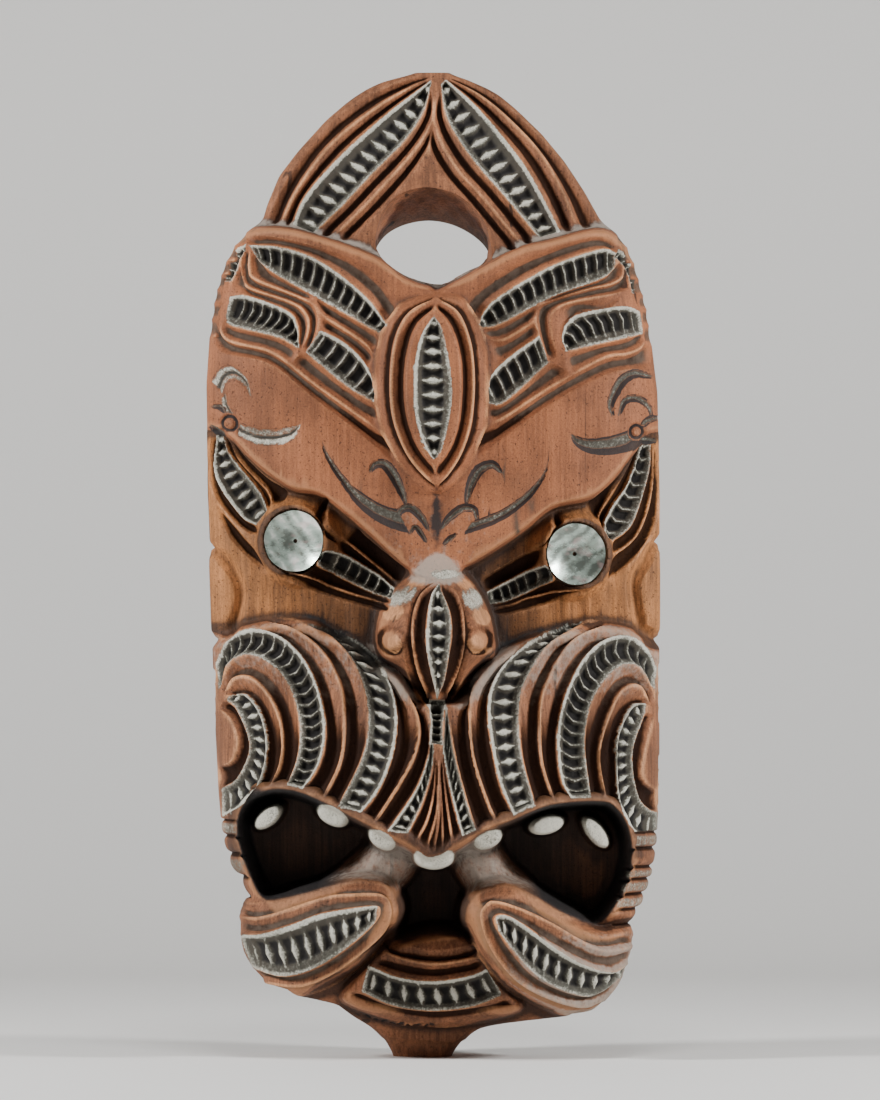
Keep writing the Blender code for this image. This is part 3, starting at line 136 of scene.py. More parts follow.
# Of the surface's grid: how far it runs to each side, in layout units, and the soft copy of it whose
# lean the carving follows, as passes of smoothing at a given step
GRID_REACH = 300
LEAN_PASSES = 6
LEAN_STEP = 2.4
# How far round a place its surroundings are averaged to find crests and ledges, in layout units
CREST_REACH = 4
LEDGE_REACH = 9
WOOD_CREASE = math.radians(60)
SHELL_CREASE = math.radians(40)
SHELL_EDGE_BULGE = 0.0001
SHELL_SEED = 4
# How fine the patterns in the materials are, as noise scales: of the wood's fibres, broad streaks,
# cracks and adze scoops across, through and up the log, of its patches, pores and specks, and of
# the films that lie on it
FIBRE_SCALE = (470, 470, 22)
STREAK_SCALE = (95, 95, 6)
CRACK_SCALE = (95, 95, 2.2)
ADZE_SCALE = (30, 1, 11)
PATCH_SCALE = 22.0
PORE_SCALE = 620.0
SPECK_SCALE = 900.0
HOLLOW_DUST_SCALE = 110.0
SOOT_SCALE = 160.0
RUBBED_SCALE = 190.0
DUST_SCALE = 230.0
CHALK_SCALE = 430.0
INK_SCALE = 700.0
NACRE_STRETCH = (1.0, 0.3, 1.4)
NACRE_CLOUD_SCALE = 38.0
NACRE_BAND_SCALE = 34.0
NACRE_PINK_SCALE = 90.0
NACRE_DIRT_SCALE = 240.0
PINK_NACRE = (0.75, 0.50, 0.48)
NACRE_DIRT = (0.16, 0.12, 0.08)

# Half widths of the front outline at named levels, as (level, half width)
LEFT_OUTLINE = [(0, 41), (18, 51), (29, 63), (41, 82), (57, 102), (60, 136), (71, 167), (88, 181),
                (106, 191), (126, 195), (150, 196), (160, 187), (177, 194), (190, 204), (221, 213),
                (266, 217), (347, 221), (500, 226), (600, 228), (674, 229), (722, 226), (759, 221),
                (791, 212), (812, 201), (828, 186), (836, 173), (853, 168), (882, 156), (907, 137),
                (939, 108), (959, 84), (971, 65), (980, 43), (985, 12)]
RIGHT_OUTLINE = [(0, 16), (12, 24), (25, 36), (33, 58), (38, 105), (42, 148), (49, 162), (57, 170),
                 (71, 182), (88, 191), (104, 197), (124, 199), (134, 194), (153, 207), (181, 217),
                 (210, 222), (277, 225), (577, 225), (665, 223), (706, 218), (750, 212), (794, 200),
                 (814, 191), (826, 180), (835, 167), (867, 149), (896, 130), (925, 106), (951, 79),
                 (966, 60), (981, 27), (985, 9)]
# Share of the outline's half width that the back keeps, at named levels
BACK_SHARE = [(0, 0.96), (60, 0.62), (110, 0.66), (160, 0.82), (200, 0.95), (985, 0.97)]
LINES = {
    "crown_left_1": [(-170, 835), (-154, 870), (-127, 913), (-85, 952), (-39, 975), (-4, 982)],
    "crown_left_2": [(-154, 833), (-138, 867), (-105, 912), (-60, 949), (-25, 970), (-5, 979)],
    "crown_left_3": [(-142, 832), (-129, 861), (-93, 902), (-49, 942), (-4, 977)],
    "crown_left_4": [(-121, 824), (-90, 854), (-61, 885), (-30, 917), (-11, 947), (-4, 975)],
    "crown_left_5": [(-101, 820), (-70, 851), (-39, 885), (-15, 914), (-2, 937)],
    "crown_left_6": [(-83, 816), (-35, 865), (-7, 907)],
    "crown_right_1": [(11, 981), (37, 975), (68, 956), (100, 928), (127, 897), (149, 865), (164, 833)],
    "crown_right_2": [(12, 980), (46, 962), (77, 936), (106, 904), (127, 867), (142, 828)],
    "crown_right_3": [(11, 978), (40, 952), (70, 917), (95, 882), (125, 825)],
    "crown_right_4": [(6, 973), (11, 942), (26, 914), (47, 886), (70, 860), (104, 819)],
    "crown_right_5": [(-2, 937), (6, 915), (24, 885), (47, 860), (87, 811)],
    "crown_right_6": [(-7, 907), (4, 884), (40, 841), (70, 805)],
    "brow_left_1": [(-187, 821), (-160, 819), (-100, 804), (-73, 792), (-51, 774), (-36, 753)],
    "brow_left_2": [(-185, 811), (-155, 808), (-123, 798), (-92, 778), (-65, 754), (-49, 731)],
    "brow_left_2b": [(-177, 795), (-159, 782), (-105, 751), (-56, 723)],
    "brow_left_3": [
        (-185, 809), (-186, 787), (-178, 776), (-130, 756), (-118, 745), (-117, 727), (-124, 705)],
    "brow_left_4": [
        (-194, 805), (-195, 782), (-188, 769), (-145, 754), (-130, 743), (-126, 729), (-132, 705)],
    "brow_left_5": [(-205, 760), (-187, 760), (-148, 745), (-138, 731), (-136, 711)],
    "brow_left_5b": [(-209, 739), (-203, 731), (-157, 719), (-136, 708)],
    "brow_left_6": [(-111, 739), (-72, 714), (-61, 701)],
    "brow_left_7": [(-114, 725), (-94, 715), (-76, 700), (-65, 683), (-61, 662)],
    "brow_left_7b": [(-129, 704), (-89, 671), (-61, 654)],
    "brow_left_8": [
        (-211, 758), (-219, 749), (-217, 731), (-207, 716), (-169, 706), (-148, 694), (-123, 674),
        (-57, 627)],
    "brow_left_9": [
        (-221, 741), (-223, 719), (-215, 704), (-173, 695), (-152, 684), (-129, 664), (-99, 641),
        (-72, 620), (-20, 575)],
    "brow_right_1": [(29, 755), (40, 769), (77, 792), (100, 802), (150, 819), (171, 821), (185, 813)],
    "brow_right_2": [(45, 732), (50, 745), (66, 760), (116, 789), (165, 806), (181, 803)],
    "brow_right_2b": [(47, 728), (65, 732), (115, 758), (165, 777), (179, 787)],
    "brow_right_3": [
        (187, 795), (189, 781), (177, 773), (155, 768), (109, 753), (100, 744), (102, 725), (111, 695)],
    "brow_right_4": [(197, 772), (185, 764), (140, 755), (122, 748), (115, 737), (116, 719), (122, 700)],
    "brow_right_5": [(131, 705), (127, 719), (131, 732), (145, 742), (187, 750), (205, 745)],
    "brow_right_5b": [(131, 705), (170, 714), (208, 723)],
    "brow_right_6": [(54, 716), (70, 717), (97, 733)],
    "brow_right_7": [(54, 665), (57, 681), (71, 696), (104, 720)],
    "brow_right_7b": [(54, 652), (70, 655), (113, 694)],
    "brow_right_8": [(212, 725), (208, 711), (193, 703), (170, 699), (118, 671), (70, 640), (54, 633)],
    "brow_right_9": [(220, 684), (195, 686), (171, 681), (119, 654), (68, 618), (31, 590), (17, 574)],
    "chin_0": [(-49, 121), (-25, 113), (3, 109), (40, 115)],
    "brow_left_0": [(-215, 776), (-210, 793), (-200, 806), (-189, 812)],
    "brow_left_0b": [(-204, 775), (-198, 787), (-195, 797), (-190, 806)],
    "brow_right_0": [(205, 765), (202, 781), (195, 796), (184, 807)],
    "brow_right_0b": [(197, 763), (194, 779), (188, 791), (179, 799)],
    "lozenge_left_1": [
        (1, 758), (-26, 742), (-40, 712), (-44, 672), (-41, 636), (-28, 602), (-11, 580), (2, 570)],
    "lozenge_right_1": [
        (1, 758), (23, 742), (35, 712), (39, 675), (36, 637), (27, 605), (14, 582), (2, 570)],
    "lozenge_left_2": [(0, 748), (-17, 727), (-25, 701), (-28, 670), (-25, 637), (-15, 609), (-1, 590)],
    "lozenge_right_2": [(0, 748), (16, 724), (24, 694), (25, 663), (22, 632), (13, 607), (-1, 590)],
    "lozenge_left_3": [(-1, 739), (-14, 718), (-20, 689), (-21, 662), (-18, 633), (-10, 610), (-1, 596)],
    "lozenge_right_3": [(-1, 739), (9, 719), (17, 662), (8, 610), (-1, 596)],
    "eye_left_1": [(-219, 623), (-221, 582), (-195, 542), (-179, 532)],
    "eye_left_1b": [(-213, 623), (-205, 602), (-176, 566), (-167, 546)],
    "eye_left_2": [(-226, 617), (-227, 587), (-221, 562), (-207, 542), (-189, 526), (-176, 521)],
    "eye_left_3": [(-207, 616), (-195, 595), (-168, 567), (-163, 552)],
    "eye_left_4": [(-202, 614), (-185, 594), (-165, 576), (-148, 566), (-147, 557)],
    "eye_left_5": [(-220, 554), (-209, 526), (-194, 506), (-165, 481)],
    "eye_left_5b": [(-220, 554), (-178, 504), (-165, 481)],
    "eye_left_7": [(-113, 559), (-114, 542), (-106, 525), (-92, 511)],
    "eye_left_8": [(-106, 558), (-104, 539), (-92, 519), (-37, 474)],
    "eye_left_9": [(-110, 503), (-96, 505), (-59, 484), (-41, 469)],
    "eye_left_9b": [(-111, 500), (-110, 491), (-100, 483), (-64, 465), (-44, 459)],
    "eye_left_8b": [(-80, 531), (-62, 514), (-28, 487)],
    "eye_left_10": [(-148, 489), (-118, 476), (-85, 464), (-46, 453)],
    "eye_left_12": [(-151, 480), (-125, 468), (-93, 457), (-47, 445)],
    "eye_right_1": [(210, 616), (192, 572), (177, 550), (169, 532), (172, 519)],
    "eye_right_1b": [(216, 616), (215, 587), (201, 541), (191, 526), (177, 516)],
    "eye_right_2": [(221, 616), (221, 582), (215, 549), (202, 521), (177, 500)],
    "eye_right_3": [(202, 605), (193, 587), (167, 548), (164, 533)],
    "eye_right_4": [(199, 602), (181, 578), (161, 560), (149, 553)],
    "eye_right_5": [(225, 577), (222, 542), (212, 516), (195, 495), (171, 475)],
    "eye_right_7": [(123, 545), (122, 533), (113, 519)],
    "eye_right_8": [(115, 543), (111, 525), (101, 512), (45, 477)],
    "eye_right_9": [(52, 465), (90, 485), (103, 491), (111, 486)],
    "eye_right_9b": [(55, 453), (75, 457), (108, 473), (112, 483)],
    "eye_right_11": [(57, 448), (77, 453), (99, 461), (151, 467)],
    "eye_right_12": [(57, 444), (73, 443), (125, 457), (153, 466)],
    "lip_left_a": [(-9, 356), (-4, 322), (-8, 297), (-20, 268), (-47, 229)],
    "lip_left_b": [(-26, 366), (-18, 349), (-15, 327), (-21, 302), (-35, 277), (-61, 237)],
    "lip_left_c": [
        (-97, 427), (-71, 412), (-51, 390), (-40, 362), (-38, 332), (-43, 302), (-55, 272), (-73, 248)],
    "lip_left_d": [(-135, 437), (-105, 424), (-82, 399), (-69, 367), (-66, 335), (-72, 302), (-96, 253)],
    "lip_left_e": [
        (-173, 438), (-143, 431), (-115, 411), (-97, 384), (-90, 355), (-93, 302), (-112, 260)],
    "lip_left_g": [
        (-219, 395), (-205, 420), (-180, 429), (-155, 422), (-132, 401), (-117, 372), (-110, 342),
        (-110, 317), (-117, 292), (-131, 271)],
    "lip_left_h": [
        (-216, 367), (-209, 392), (-190, 403), (-170, 398), (-150, 381), (-138, 355), (-134, 327),
        (-137, 300), (-147, 274)],
    "lip_left_i": [
        (-212, 364), (-202, 380), (-185, 381), (-168, 367), (-156, 345), (-152, 321), (-154, 297),
        (-163, 274)],
    "lip_left_j": [
        (-203, 363), (-189, 363), (-175, 347), (-168, 322), (-169, 297), (-177, 272), (-191, 255),
        (-213, 241)],
    "lip_left_k": [(-209, 358), (-197, 347), (-185, 312), (-197, 281), (-213, 269)],
    "lip_left_l": [(-215, 349), (-204, 339), (-197, 322), (-198, 307), (-205, 295), (-217, 291)],
    "lip_right_a": [(11, 356), (18, 310), (33, 252), (41, 230)],
    "lip_right_b": [(68, 404), (46, 385), (34, 362), (37, 307), (51, 261), (61, 238)],
    "lip_right_c": [(132, 434), (90, 414), (67, 393), (54, 367), (53, 337), (63, 282), (78, 245)],
    "lip_right_d": [(148, 436), (116, 417), (96, 390), (84, 360), (85, 309), (99, 254)],
    "lip_right_e": [(171, 434), (145, 424), (127, 407), (112, 380), (104, 352), (106, 300), (119, 258)],
    "lip_right_g": [
        (222, 389), (210, 411), (190, 422), (167, 417), (147, 398), (131, 367), (123, 337), (122, 307),
        (126, 279), (135, 261)],
    "lip_right_h": [
        (219, 367), (207, 388), (191, 394), (173, 383), (157, 360), (150, 335), (149, 307), (155, 262)],
    "lip_right_i": [(217, 352), (207, 371), (193, 372), (179, 357), (164, 310), (169, 264)],
    "lip_right_j": [
        (211, 355), (199, 353), (188, 337), (181, 312), (183, 262), (193, 235), (207, 221), (222, 219)],
    "lip_right_k": [(210, 345), (197, 305), (203, 263), (215, 248), (223, 245)],
    "lip_right_l": [(218, 341), (206, 291), (210, 276), (221, 267)],
    "stack_left": [(-7, 358), (-4, 338), (-5, 316)],
    "stack_right": [(11, 358), (8, 338), (8, 314)],
    "philtrum_1": [(-1, 309), (-4, 287), (-13, 257), (-27, 227)],
    "philtrum_2": [(2, 307), (0, 272), (-7, 242), (-18, 219)],
    "philtrum_3": [(3, 287), (1, 247), (-8, 212)],
    "philtrum_4": [(4, 287), (4, 247), (-1, 207)],
    "philtrum_5": [(5, 292), (7, 252), (8, 211)],
    "philtrum_6": [(6, 305), (10, 267), (17, 219)],
    "philtrum_7": [(8, 309), (15, 272), (27, 225)],
    "chin_1": [(-51, 108), (-27, 100), (3, 96), (41, 102)],
    "chin_2": [(-67, 94), (-36, 82), (-1, 78), (33, 83), (51, 90)],
    "chin_3": [(-73, 68), (-41, 54), (-4, 49), (35, 53), (67, 65)],
    "chin_4": [(-95, 64), (-57, 43), (-5, 33), (47, 37), (89, 51)],
    "nose_left_1": [(3, 477), (-14, 465), (-22, 442), (-23, 412), (-19, 386), (-9, 359)],
    "nose_right_1": [(6, 477), (22, 465), (29, 442), (30, 412), (25, 386), (13, 359)],
    "nose_left_2": [(3, 473), (-5, 458), (-8, 407), (2, 359)],
    "nose_right_2": [(5, 473), (16, 437), (11, 382), (2, 359)],
    "arm_left_1": [
        (-196, 141), (-171, 143), (-112, 163), (-82, 167), (-53, 167), (-43, 155), (-44, 139),
        (-53, 124), (-82, 100), (-110, 82), (-137, 73), (-173, 75)],
    "arm_left_2": [
        (-195, 123), (-171, 126), (-141, 136), (-112, 147), (-63, 155), (-54, 151), (-59, 139),
        (-82, 118), (-110, 98), (-135, 87), (-157, 84), (-183, 91)],
    "arm_right_1": [
        (199, 112), (174, 109), (154, 115), (111, 140), (64, 160), (50, 156), (45, 145), (52, 120),
        (69, 93), (95, 71), (144, 52), (167, 57)],
    "arm_right_2": [
        (197, 95), (175, 87), (134, 103), (87, 137), (69, 146), (60, 143), (64, 129), (102, 85),
        (148, 64), (170, 69), (189, 84)],
    "arm_left_0": [
        (-196, 154), (-173, 156), (-135, 164), (-100, 174), (-70, 177), (-49, 171), (-38, 154),
        (-42, 132), (-55, 112), (-75, 92), (-100, 74), (-125, 64), (-150, 62), (-173, 67)],
    "arm_right_0": [
        (200, 122), (187, 133), (165, 131), (140, 139), (95, 165), (70, 172), (47, 168), (35, 157),
        (32, 142), (37, 117), (50, 94), (70, 72), (95, 55), (120, 44), (145, 41), (171, 54)],
    "lozenge_left_0": [
        (1, 761), (-30, 754), (-47, 738), (-57, 711), (-60, 672), (-57, 640), (-47, 611), (-30, 586),
        (-11, 569), (2, 562)],
    "lozenge_right_0": [
        (1, 761), (30, 755), (43, 737), (51, 707), (52, 638), (44, 608), (28, 583), (2, 562)],
    "nose_left_0": [
        (5, 480), (-15, 472), (-26, 452), (-30, 417), (-28, 392), (-20, 369), (-8, 355), (2, 351)],
    "nose_right_0": [(5, 480), (24, 469), (33, 447), (36, 417), (22, 367), (14, 355), (2, 351)],
}
REGIONS = {
    "brow": [
        (-330, 795), (-225, 795), (-210, 813), (-193, 826), (-173, 831), (-135, 827), (-63, 803),
        (-30, 780), (-5, 771), (10, 771), (77, 807), (113, 817), (169, 829), (201, 805), (216, 790),
        (330, 780), (330, 625), (225, 625), (205, 609), (181, 579), (155, 557), (117, 547), (85, 522),
        (55, 502), (25, 485), (0, 478), (-23, 482), (-65, 520), (-90, 542), (-115, 560), (-145, 567),
        (-180, 592), (-205, 617), (-229, 627), (-330, 630)],
    "lozenge": [
        (1, 761), (-30, 754), (-47, 738), (-57, 711), (-60, 672), (-57, 640), (-47, 611), (-30, 586),
        (2, 562), (28, 583), (44, 608), (52, 638), (51, 707), (30, 755)],
    "nose": [
        (-9, 505), (-30, 482), (-50, 460), (-58, 440), (-60, 415), (-53, 399), (-34, 385), (-9, 354),
        (14, 354), (42, 388), (60, 401), (61, 417), (50, 457), (14, 505)],
    "muzzle": [
        (-330, 426), (-221, 426), (-208, 428), (-163, 438), (-123, 437), (-105, 427), (-79, 415),
        (-63, 399), (-34, 385), (-20, 367), (2, 354), (26, 367), (42, 388), (67, 408), (91, 419),
        (116, 426), (152, 435), (188, 432), (206, 423), (224, 408), (330, 400), (330, 120),
        (-330, 120)],
    "mouth": [
        (-167, 157), (-185, 182), (-198, 231), (-183, 263), (-140, 270), (-75, 241), (-25, 216),
        (-1, 204), (45, 230), (70, 239), (115, 256), (165, 259), (181, 251), (193, 232), (197, 207),
        (193, 179), (181, 154), (160, 133), (125, 147), (95, 164), (65, 171), (37, 159), (32, 132),
        (40, 120), (0, 123), (-37, 117), (-42, 129), (-38, 152), (-50, 171), (-80, 176), (-125, 166)],
    "arm_left": [
        (-240, 154), (-196, 154), (-173, 156), (-135, 164), (-100, 174), (-70, 177), (-49, 171),
        (-38, 154), (-42, 132), (-75, 92), (-125, 64), (-150, 60), (-190, 66), (-240, 90)],
    "arm_right": [
        (35, 157), (70, 172), (95, 165), (140, 139), (165, 131), (187, 133), (240, 130), (240, 60),
        (187, 45), (163, 40), (145, 38), (120, 44), (70, 72), (37, 117)],
    "chin": [
        (-47, 117), (-35, 118), (-4, 124), (15, 127), (38, 118), (60, 85), (89, 51), (45, 36),
        (-5, 31), (-57, 41), (-95, 60), (-70, 95)],
    "ear_left": [
        (-250, 503), (-226, 500), (-216, 493), (-205, 478), (-201, 462), (-206, 440), (-216, 428),
        (-250, 425)],
    "ear_right": [
        (250, 508), (225, 506), (216, 492), (206, 476), (206, 462), (210, 442), (216, 430), (250, 425)],
}
# The crown's hole, where its slope starts at the front and where it opens at the back
HOLE_OUTLINES = {
    "back": [
        (-59, 807), (-56, 817), (-45, 828), (-27, 836), (-5, 839), (17, 835), (37, 825), (51, 812),
        (55, 800), (51, 794), (30, 784), (10, 773), (-5, 773), (-30, 781), (-50, 795)],
    "front": [
        (-59, 810), (-57, 830), (-47, 852), (-31, 864), (-8, 869), (16, 864), (35, 853), (50, 832),
        (56, 804), (51, 794), (30, 784), (10, 773), (-5, 773), (-30, 781), (-50, 795)],
}


def neighbours(stem, *runs):
    """Pairs of the lines that follow each other in each run, as names that start alike."""
    return [(stem + one, stem + two) for run in runs for one, two in zip(run, run[1:])]


# Flutes are gouged between two neighbouring crest lines. A crest may be a stretch of a line, as
# (line, first share of its length, last share).
PLAIN_FLUTES = [
    *neighbours("crown_left_", "123", "456"), *neighbours("crown_right_", "123", "456"),
    *neighbours("brow_left_", "12", "345"),
    (("brow_left_2b", 0.0, 0.48), ("brow_left_3", 0.0, 0.62)),
    (("brow_left_2b", 0.48, 1.0), "brow_left_6"), ("brow_left_6", ("brow_left_7", 0.0, 0.7)),
    ("brow_left_5b", ("brow_left_8", 0.17, 0.52)), ("brow_left_7b", ("brow_left_8", 0.52, 1.0)),
    ("brow_left_8", ("brow_left_9", 0.0, 0.92)),
    *neighbours("brow_right_", "12", "345"),
    (("brow_right_2b", 1.0, 0.42), ("brow_right_3", 0.0, 0.55)),
    (("brow_right_2b", 0.42, 0.0), ("brow_right_6", 1.0, 0.0)),
    ("brow_right_6", ("brow_right_7", 0.35, 1.0)),
    ("brow_right_5b", ("brow_right_8", 0.5, 0.0)), ("brow_right_7b", ("brow_right_8", 1.0, 0.5)),
    ("brow_right_8", ("brow_right_9", 0.0, 0.9)),
    *neighbours("lozenge_left_", "012"), *neighbours("lozenge_right_", "012"),
    ("eye_left_2", "eye_left_1"), *neighbours("eye_left_", ("1b", "3", "4"), ("5", "5b")),
    ("eye_left_7", ("eye_left_8", 0.0, 0.5)), *neighbours("eye_left_", ("9b", "10", "12")),
    (("eye_left_8", 0.35, 1.0), ("eye_left_9", 0.25, 1.0)), ("eye_left_8b", ("eye_left_8", 0.4, 1.0)),
    (("eye_right_8", 0.35, 1.0), ("eye_right_9", 0.75, 0.0)),
    *neighbours("eye_right_", ("2", "1b"), "134", "52"), ("eye_right_7", ("eye_right_8", 0.0, 0.5)),
    *neighbours("eye_right_", ("9b", "11", "12")),
    *neighbours("nose_left_", "012"), *neighbours("nose_right_", "012"),
    *neighbours("philtrum_", "1234567"), *neighbours("chin_", "012", "34"),
    *neighbours("arm_left_", "012"), *neighbours("arm_right_", "012"),
]
LIP_FLUTES = [pair for side in ("left", "right")
              for pair in neighbours(f"lip_{side}_", "abc", "deg", "hij", "kl")]
# Sunk panels between two edges, with rows of teeth: (edge, edge, kind, pitch, bend)
PANELS = [
    ("crown_left_3", "crown_left_4", "pyramid", 15, 0), ("crown_right_3", "crown_right_4", "pyramid", 16, 0),
    ("brow_left_2", "brow_left_2b", "wall", 12, 0.1), ("brow_left_5", "brow_left_5b", "wall", 10, 0.35),
    ("brow_left_7", "brow_left_7b", "wall", 13, 0.1),
    ("brow_right_2", "brow_right_2b", "wall", 11.5, 0.15),
    ("brow_right_5", "brow_right_5b", "wall", 11, 0.35), ("brow_right_7", "brow_right_7b", "wall", 13, 0.1),
    ("lozenge_left_3", "lozenge_right_3", "pyramid", 14.5, 0),
    ("eye_left_1", "eye_left_1b", "pyramid", 11.5, 0), ("eye_left_9", "eye_left_9b", "wall", 11, 0.1),
    ("eye_right_1", "eye_right_1b", "wall", 14, 0.35), ("eye_right_9", "eye_right_9b", "wall", 9.5, 0.1),
    ("lip_left_c", "lip_left_d", "pyramid", 14, 0), ("lip_left_g", "lip_left_h", "wall", 11.5, 0.4),
    ("lip_left_j", "lip_left_k", "pyramid", 12, 0),
    ("lip_right_c", "lip_right_d", "pyramid", 14.5, 0), ("lip_right_g", "lip_right_h", "wall", 12, 0.4),
    ("lip_right_j", "lip_right_k", "pyramid", 12, 0),
    ("lip_left_a", "philtrum_1", "pyramid", 11, 0), ("philtrum_7", "lip_right_a", "pyramid", 11, 0),
    ("chin_2", "chin_3", "pyramid", 17, 0), ("nose_left_2", "nose_right_2", "pyramid", 15, 0),
    ("stack_left", "stack_right", "wall", 7, 0),
    ("brow_left_0", "brow_left_0b", "wall", 8, 0.1), ("brow_right_0", "brow_right_0b", "wall", 8, 0.1),
    (("arm_left_2", 0.0, 0.47), ("arm_left_2", 1.0, 0.53), "pyramid", 14, 0),
    (("arm_right_2", 0.0, 0.48), ("arm_right_2", 1.0, 0.52), "pyramid", 14, 0),
]
TEETH = [(-166, 241, 17, 9, 40), (-102, 243, 17, 10, -28), (-53, 220, 15, 9, -32),
         (-1, 202, 20, 13, 0), (53, 220, 15, 9, 24), (111, 234, 18, 10, 14), (160, 226, 9, 19, 38)]
EYES = {"left": (-141, 516), "right": (141, 503)}
# Crests that run back round the block, as levels where they leave the front outline
SIDE_LEVELS_LEFT = [826, 812, 796, 782, 768, 754, 738, 720]
SIDE_LEVELS_RIGHT = [824, 810, 794, 778, 762, 748, 732, 712]
SIDE_FLUTE_RUN = 62
SIDE_FLUTE_START = 5
SIDE_FLUTE_SAG = 10
# Rings that close the lips' spirals: (side, centre x, centre z, first radius, end, spacing, stretch)
SPIRAL_SIDES = [(-1, 221, 313, 13, 60, 12, 1.22), (1, 225, 318, 13, 60, 12, 1.24)]
SPIRAL_WIDTH = 0.9
CHALKED_RINGS = (25, 49)
# Rounded ridges round the jaws: (side, start x at the top, at the bottom, levels between ridges,
# which ridges are chalked)
JAW_RIDGES = [(-1, 196, 181, [238, 221, 203, 179, 160], (0, 2)),
              (1, 199, 172, [226, 209, 190, 178, 163, 148, 134], (0, 2, 3, 4))]
JAW_RUN = 70

# Depth of the plain block on its centre line, as (level, depth)
LOG_DEPTHS = [(0, FOOT_DEPTH), (30, FOOT_DEPTH + 0.004), (75, 0.5 * (FOOT_DEPTH + CHIN_DEPTH)),
              (150, CHEEK_DEPTH), (420, CHEEK_DEPTH), (560, CHEEK_DEPTH), (800, CROWN_DEPTH + 0.004),
              (880, CROWN_DEPTH), (985, CROWN_TIP_DEPTH)]
# Exponent of the cross-section, full on the face and flatter on the crown, as (level, exponent)
ROUNDNESS = [(0, 2.3), (780, 2.3), (840, 3.6), (985, 3.6)]
# Levels between which the lobes' sides start and end, and the crown's sides thin out by a share
ARM_SIDE_START = (10, 60)
ARM_SIDE_END = (125, 165)
CROWN_LEVELS = (800, 985)
CROWN_SLIMMING = 0.12
# Levels between which the front's larger forms change
BROW_SWELL = (760, 560)
MUZZLE_TOP = 436
MUZZLE_END = (122, 150)
LIP_FALL = (235, 160)
LIP_RIM_LEVEL = 204
LIP_RIM_SLOPE = 0.34
LIP_RIM_REACH = 165
CHIN_STEP = (95, 125)
CHIN_STEP_DEPTH = 0.008
CHIN_FALL = (52, 34)
CHIN_FALL_DEPTH = 0.012
# Distances inside an outline between which its form rises from what surrounds it
BROW_EDGE = (-1.5, 4.5)
LOZENGE_EDGE = (-1, 3)
MUZZLE_EDGE = (-1.5, 5)
CHIN_EDGE = (-2, 5)
MOUTH_EDGE = (1, 13)
ARM_EDGE = (-1.5, 4)
TOOTH_EDGE = (-2, 3)
# Distances inside an outline at which a rounded form is at its full height
LOZENGE_DOME = 46
ARM_DOME = 42
NOSE_DOME = 40
EAR_DOME = 12
# Half width of the swelling between the eyes
BRIDGE_WIDTH = 70
# How far a region's outline is looked for round it, where the usual margin is too narrow
WIDE_MARGIN = 60
ARM_MARGIN = 50
EAR_MARGIN = 24
# The nose's profile as (level, depth)
NOSE_PROFILE = [(350, LIP_RIM_DEPTH), (372, NOSE_DEPTH - 0.004), (400, NOSE_DEPTH),
                (425, NOSE_DEPTH - 0.003), (470, BRIDGE_DEPTH + 0.022), (506, BRIDGE_DEPTH)]
# Ledges stepped into the foot: levels where the wood drops back
FOOT_LEDGES = [46, 33, 17]
# Where the row of teeth runs across a panel, from its first edge, where that isn't the middle
TOOTH_LINES = {"crown_left_3": 0.64, "crown_right_3": 0.60, "lip_left_g": 0.52, "lip_right_g": 0.52,
               "lozenge_left_3": 0.5}
# Curls cut into the smooth brow: (what fills them, spine, greatest width)
CURLS = [
    ("stain", [(66, 585), (74, 578), (82, 569), (90, 560)], 9),
    ("stain", [(92, 562), (96, 553), (98, 545)], 7),
    ("stain", [(78, 548), (80, 536), (83, 520)], 9),
    ("stain", [(-68, 580), (-72, 570), (-76, 560)], 8),
    ("ink", [(-65, 584), (-60, 592), (-50, 592), (-41, 581), (-34, 567), (-29, 553)], 10),
    ("ink", [(-37, 533), (-35, 545), (-25, 549), (-14, 540), (-6, 526)], 8),
    ("ink", [(-26, 522), (-20, 530), (-13, 522), (-8, 514)], 5),
    ("ink", [(66, 584), (57, 592), (44, 587), (35, 571), (31, 553)], 10),
    ("ink", [(42, 536), (39, 547), (28, 549), (15, 540), (5, 527)], 8),
    ("ink", [(22, 523), (14, 518), (8, 512)], 5),
    ("ink", [(177, 641), (175, 652), (180, 665), (187, 676), (200, 683), (218, 680)], 10),
    ("ink", [(183, 641), (190, 656), (203, 658), (214, 650), (217, 640)], 7),
    ("ink", [(224, 640), (212, 636), (206, 628)], 7),
    ("ink", [(196, 628), (206, 618), (222, 616)], 8),
    ("pigment", [(-211, 665), (-210, 652), (-204, 643), (-198, 637)], 7),
    ("ink", [(-225, 650), (-216, 650), (-210, 644)], 5),
    ("ink", [(-226, 632), (-218, 626), (-210, 622)], 6),
]
# Curls between two edges: (what fills them, outer edge, inner edge)
CRESCENTS = [
    ("ink", [(-113, 620), (-111, 605), (-104, 590), (-92, 571), (-77, 551), (-60, 537), (-39, 527),
             (-26, 524)],
     [(-113, 620), (-109, 608), (-100, 593), (-87, 576), (-73, 564), (-53, 552), (-38, 547)]),
    ("ink", [(113, 607), (113, 594), (108, 578), (96, 560), (81, 546), (60, 533), (28, 522)],
     [(113, 607), (110, 588), (94, 567), (68, 548), (47, 539), (38, 536)]),
    ("pigment", [(-183, 658), (-187, 676), (-196, 687), (-207, 692), (-217, 687), (-224, 676)],
     [(-183, 658), (-191, 670), (-200, 676), (-208, 673), (-211, 667), (-212, 662)]),
    ("pigment", [(-133, 633), (-141, 617), (-158, 611), (-178, 612), (-197, 620)],
     [(-133, 633), (-150, 629), (-173, 628), (-186, 631), (-197, 636)]),
    ("ink", [(134, 623), (140, 611), (155, 603), (176, 602), (195, 606), (206, 612)],
     [(134, 623), (149, 618), (167, 619), (184, 623), (196, 628)]),
]
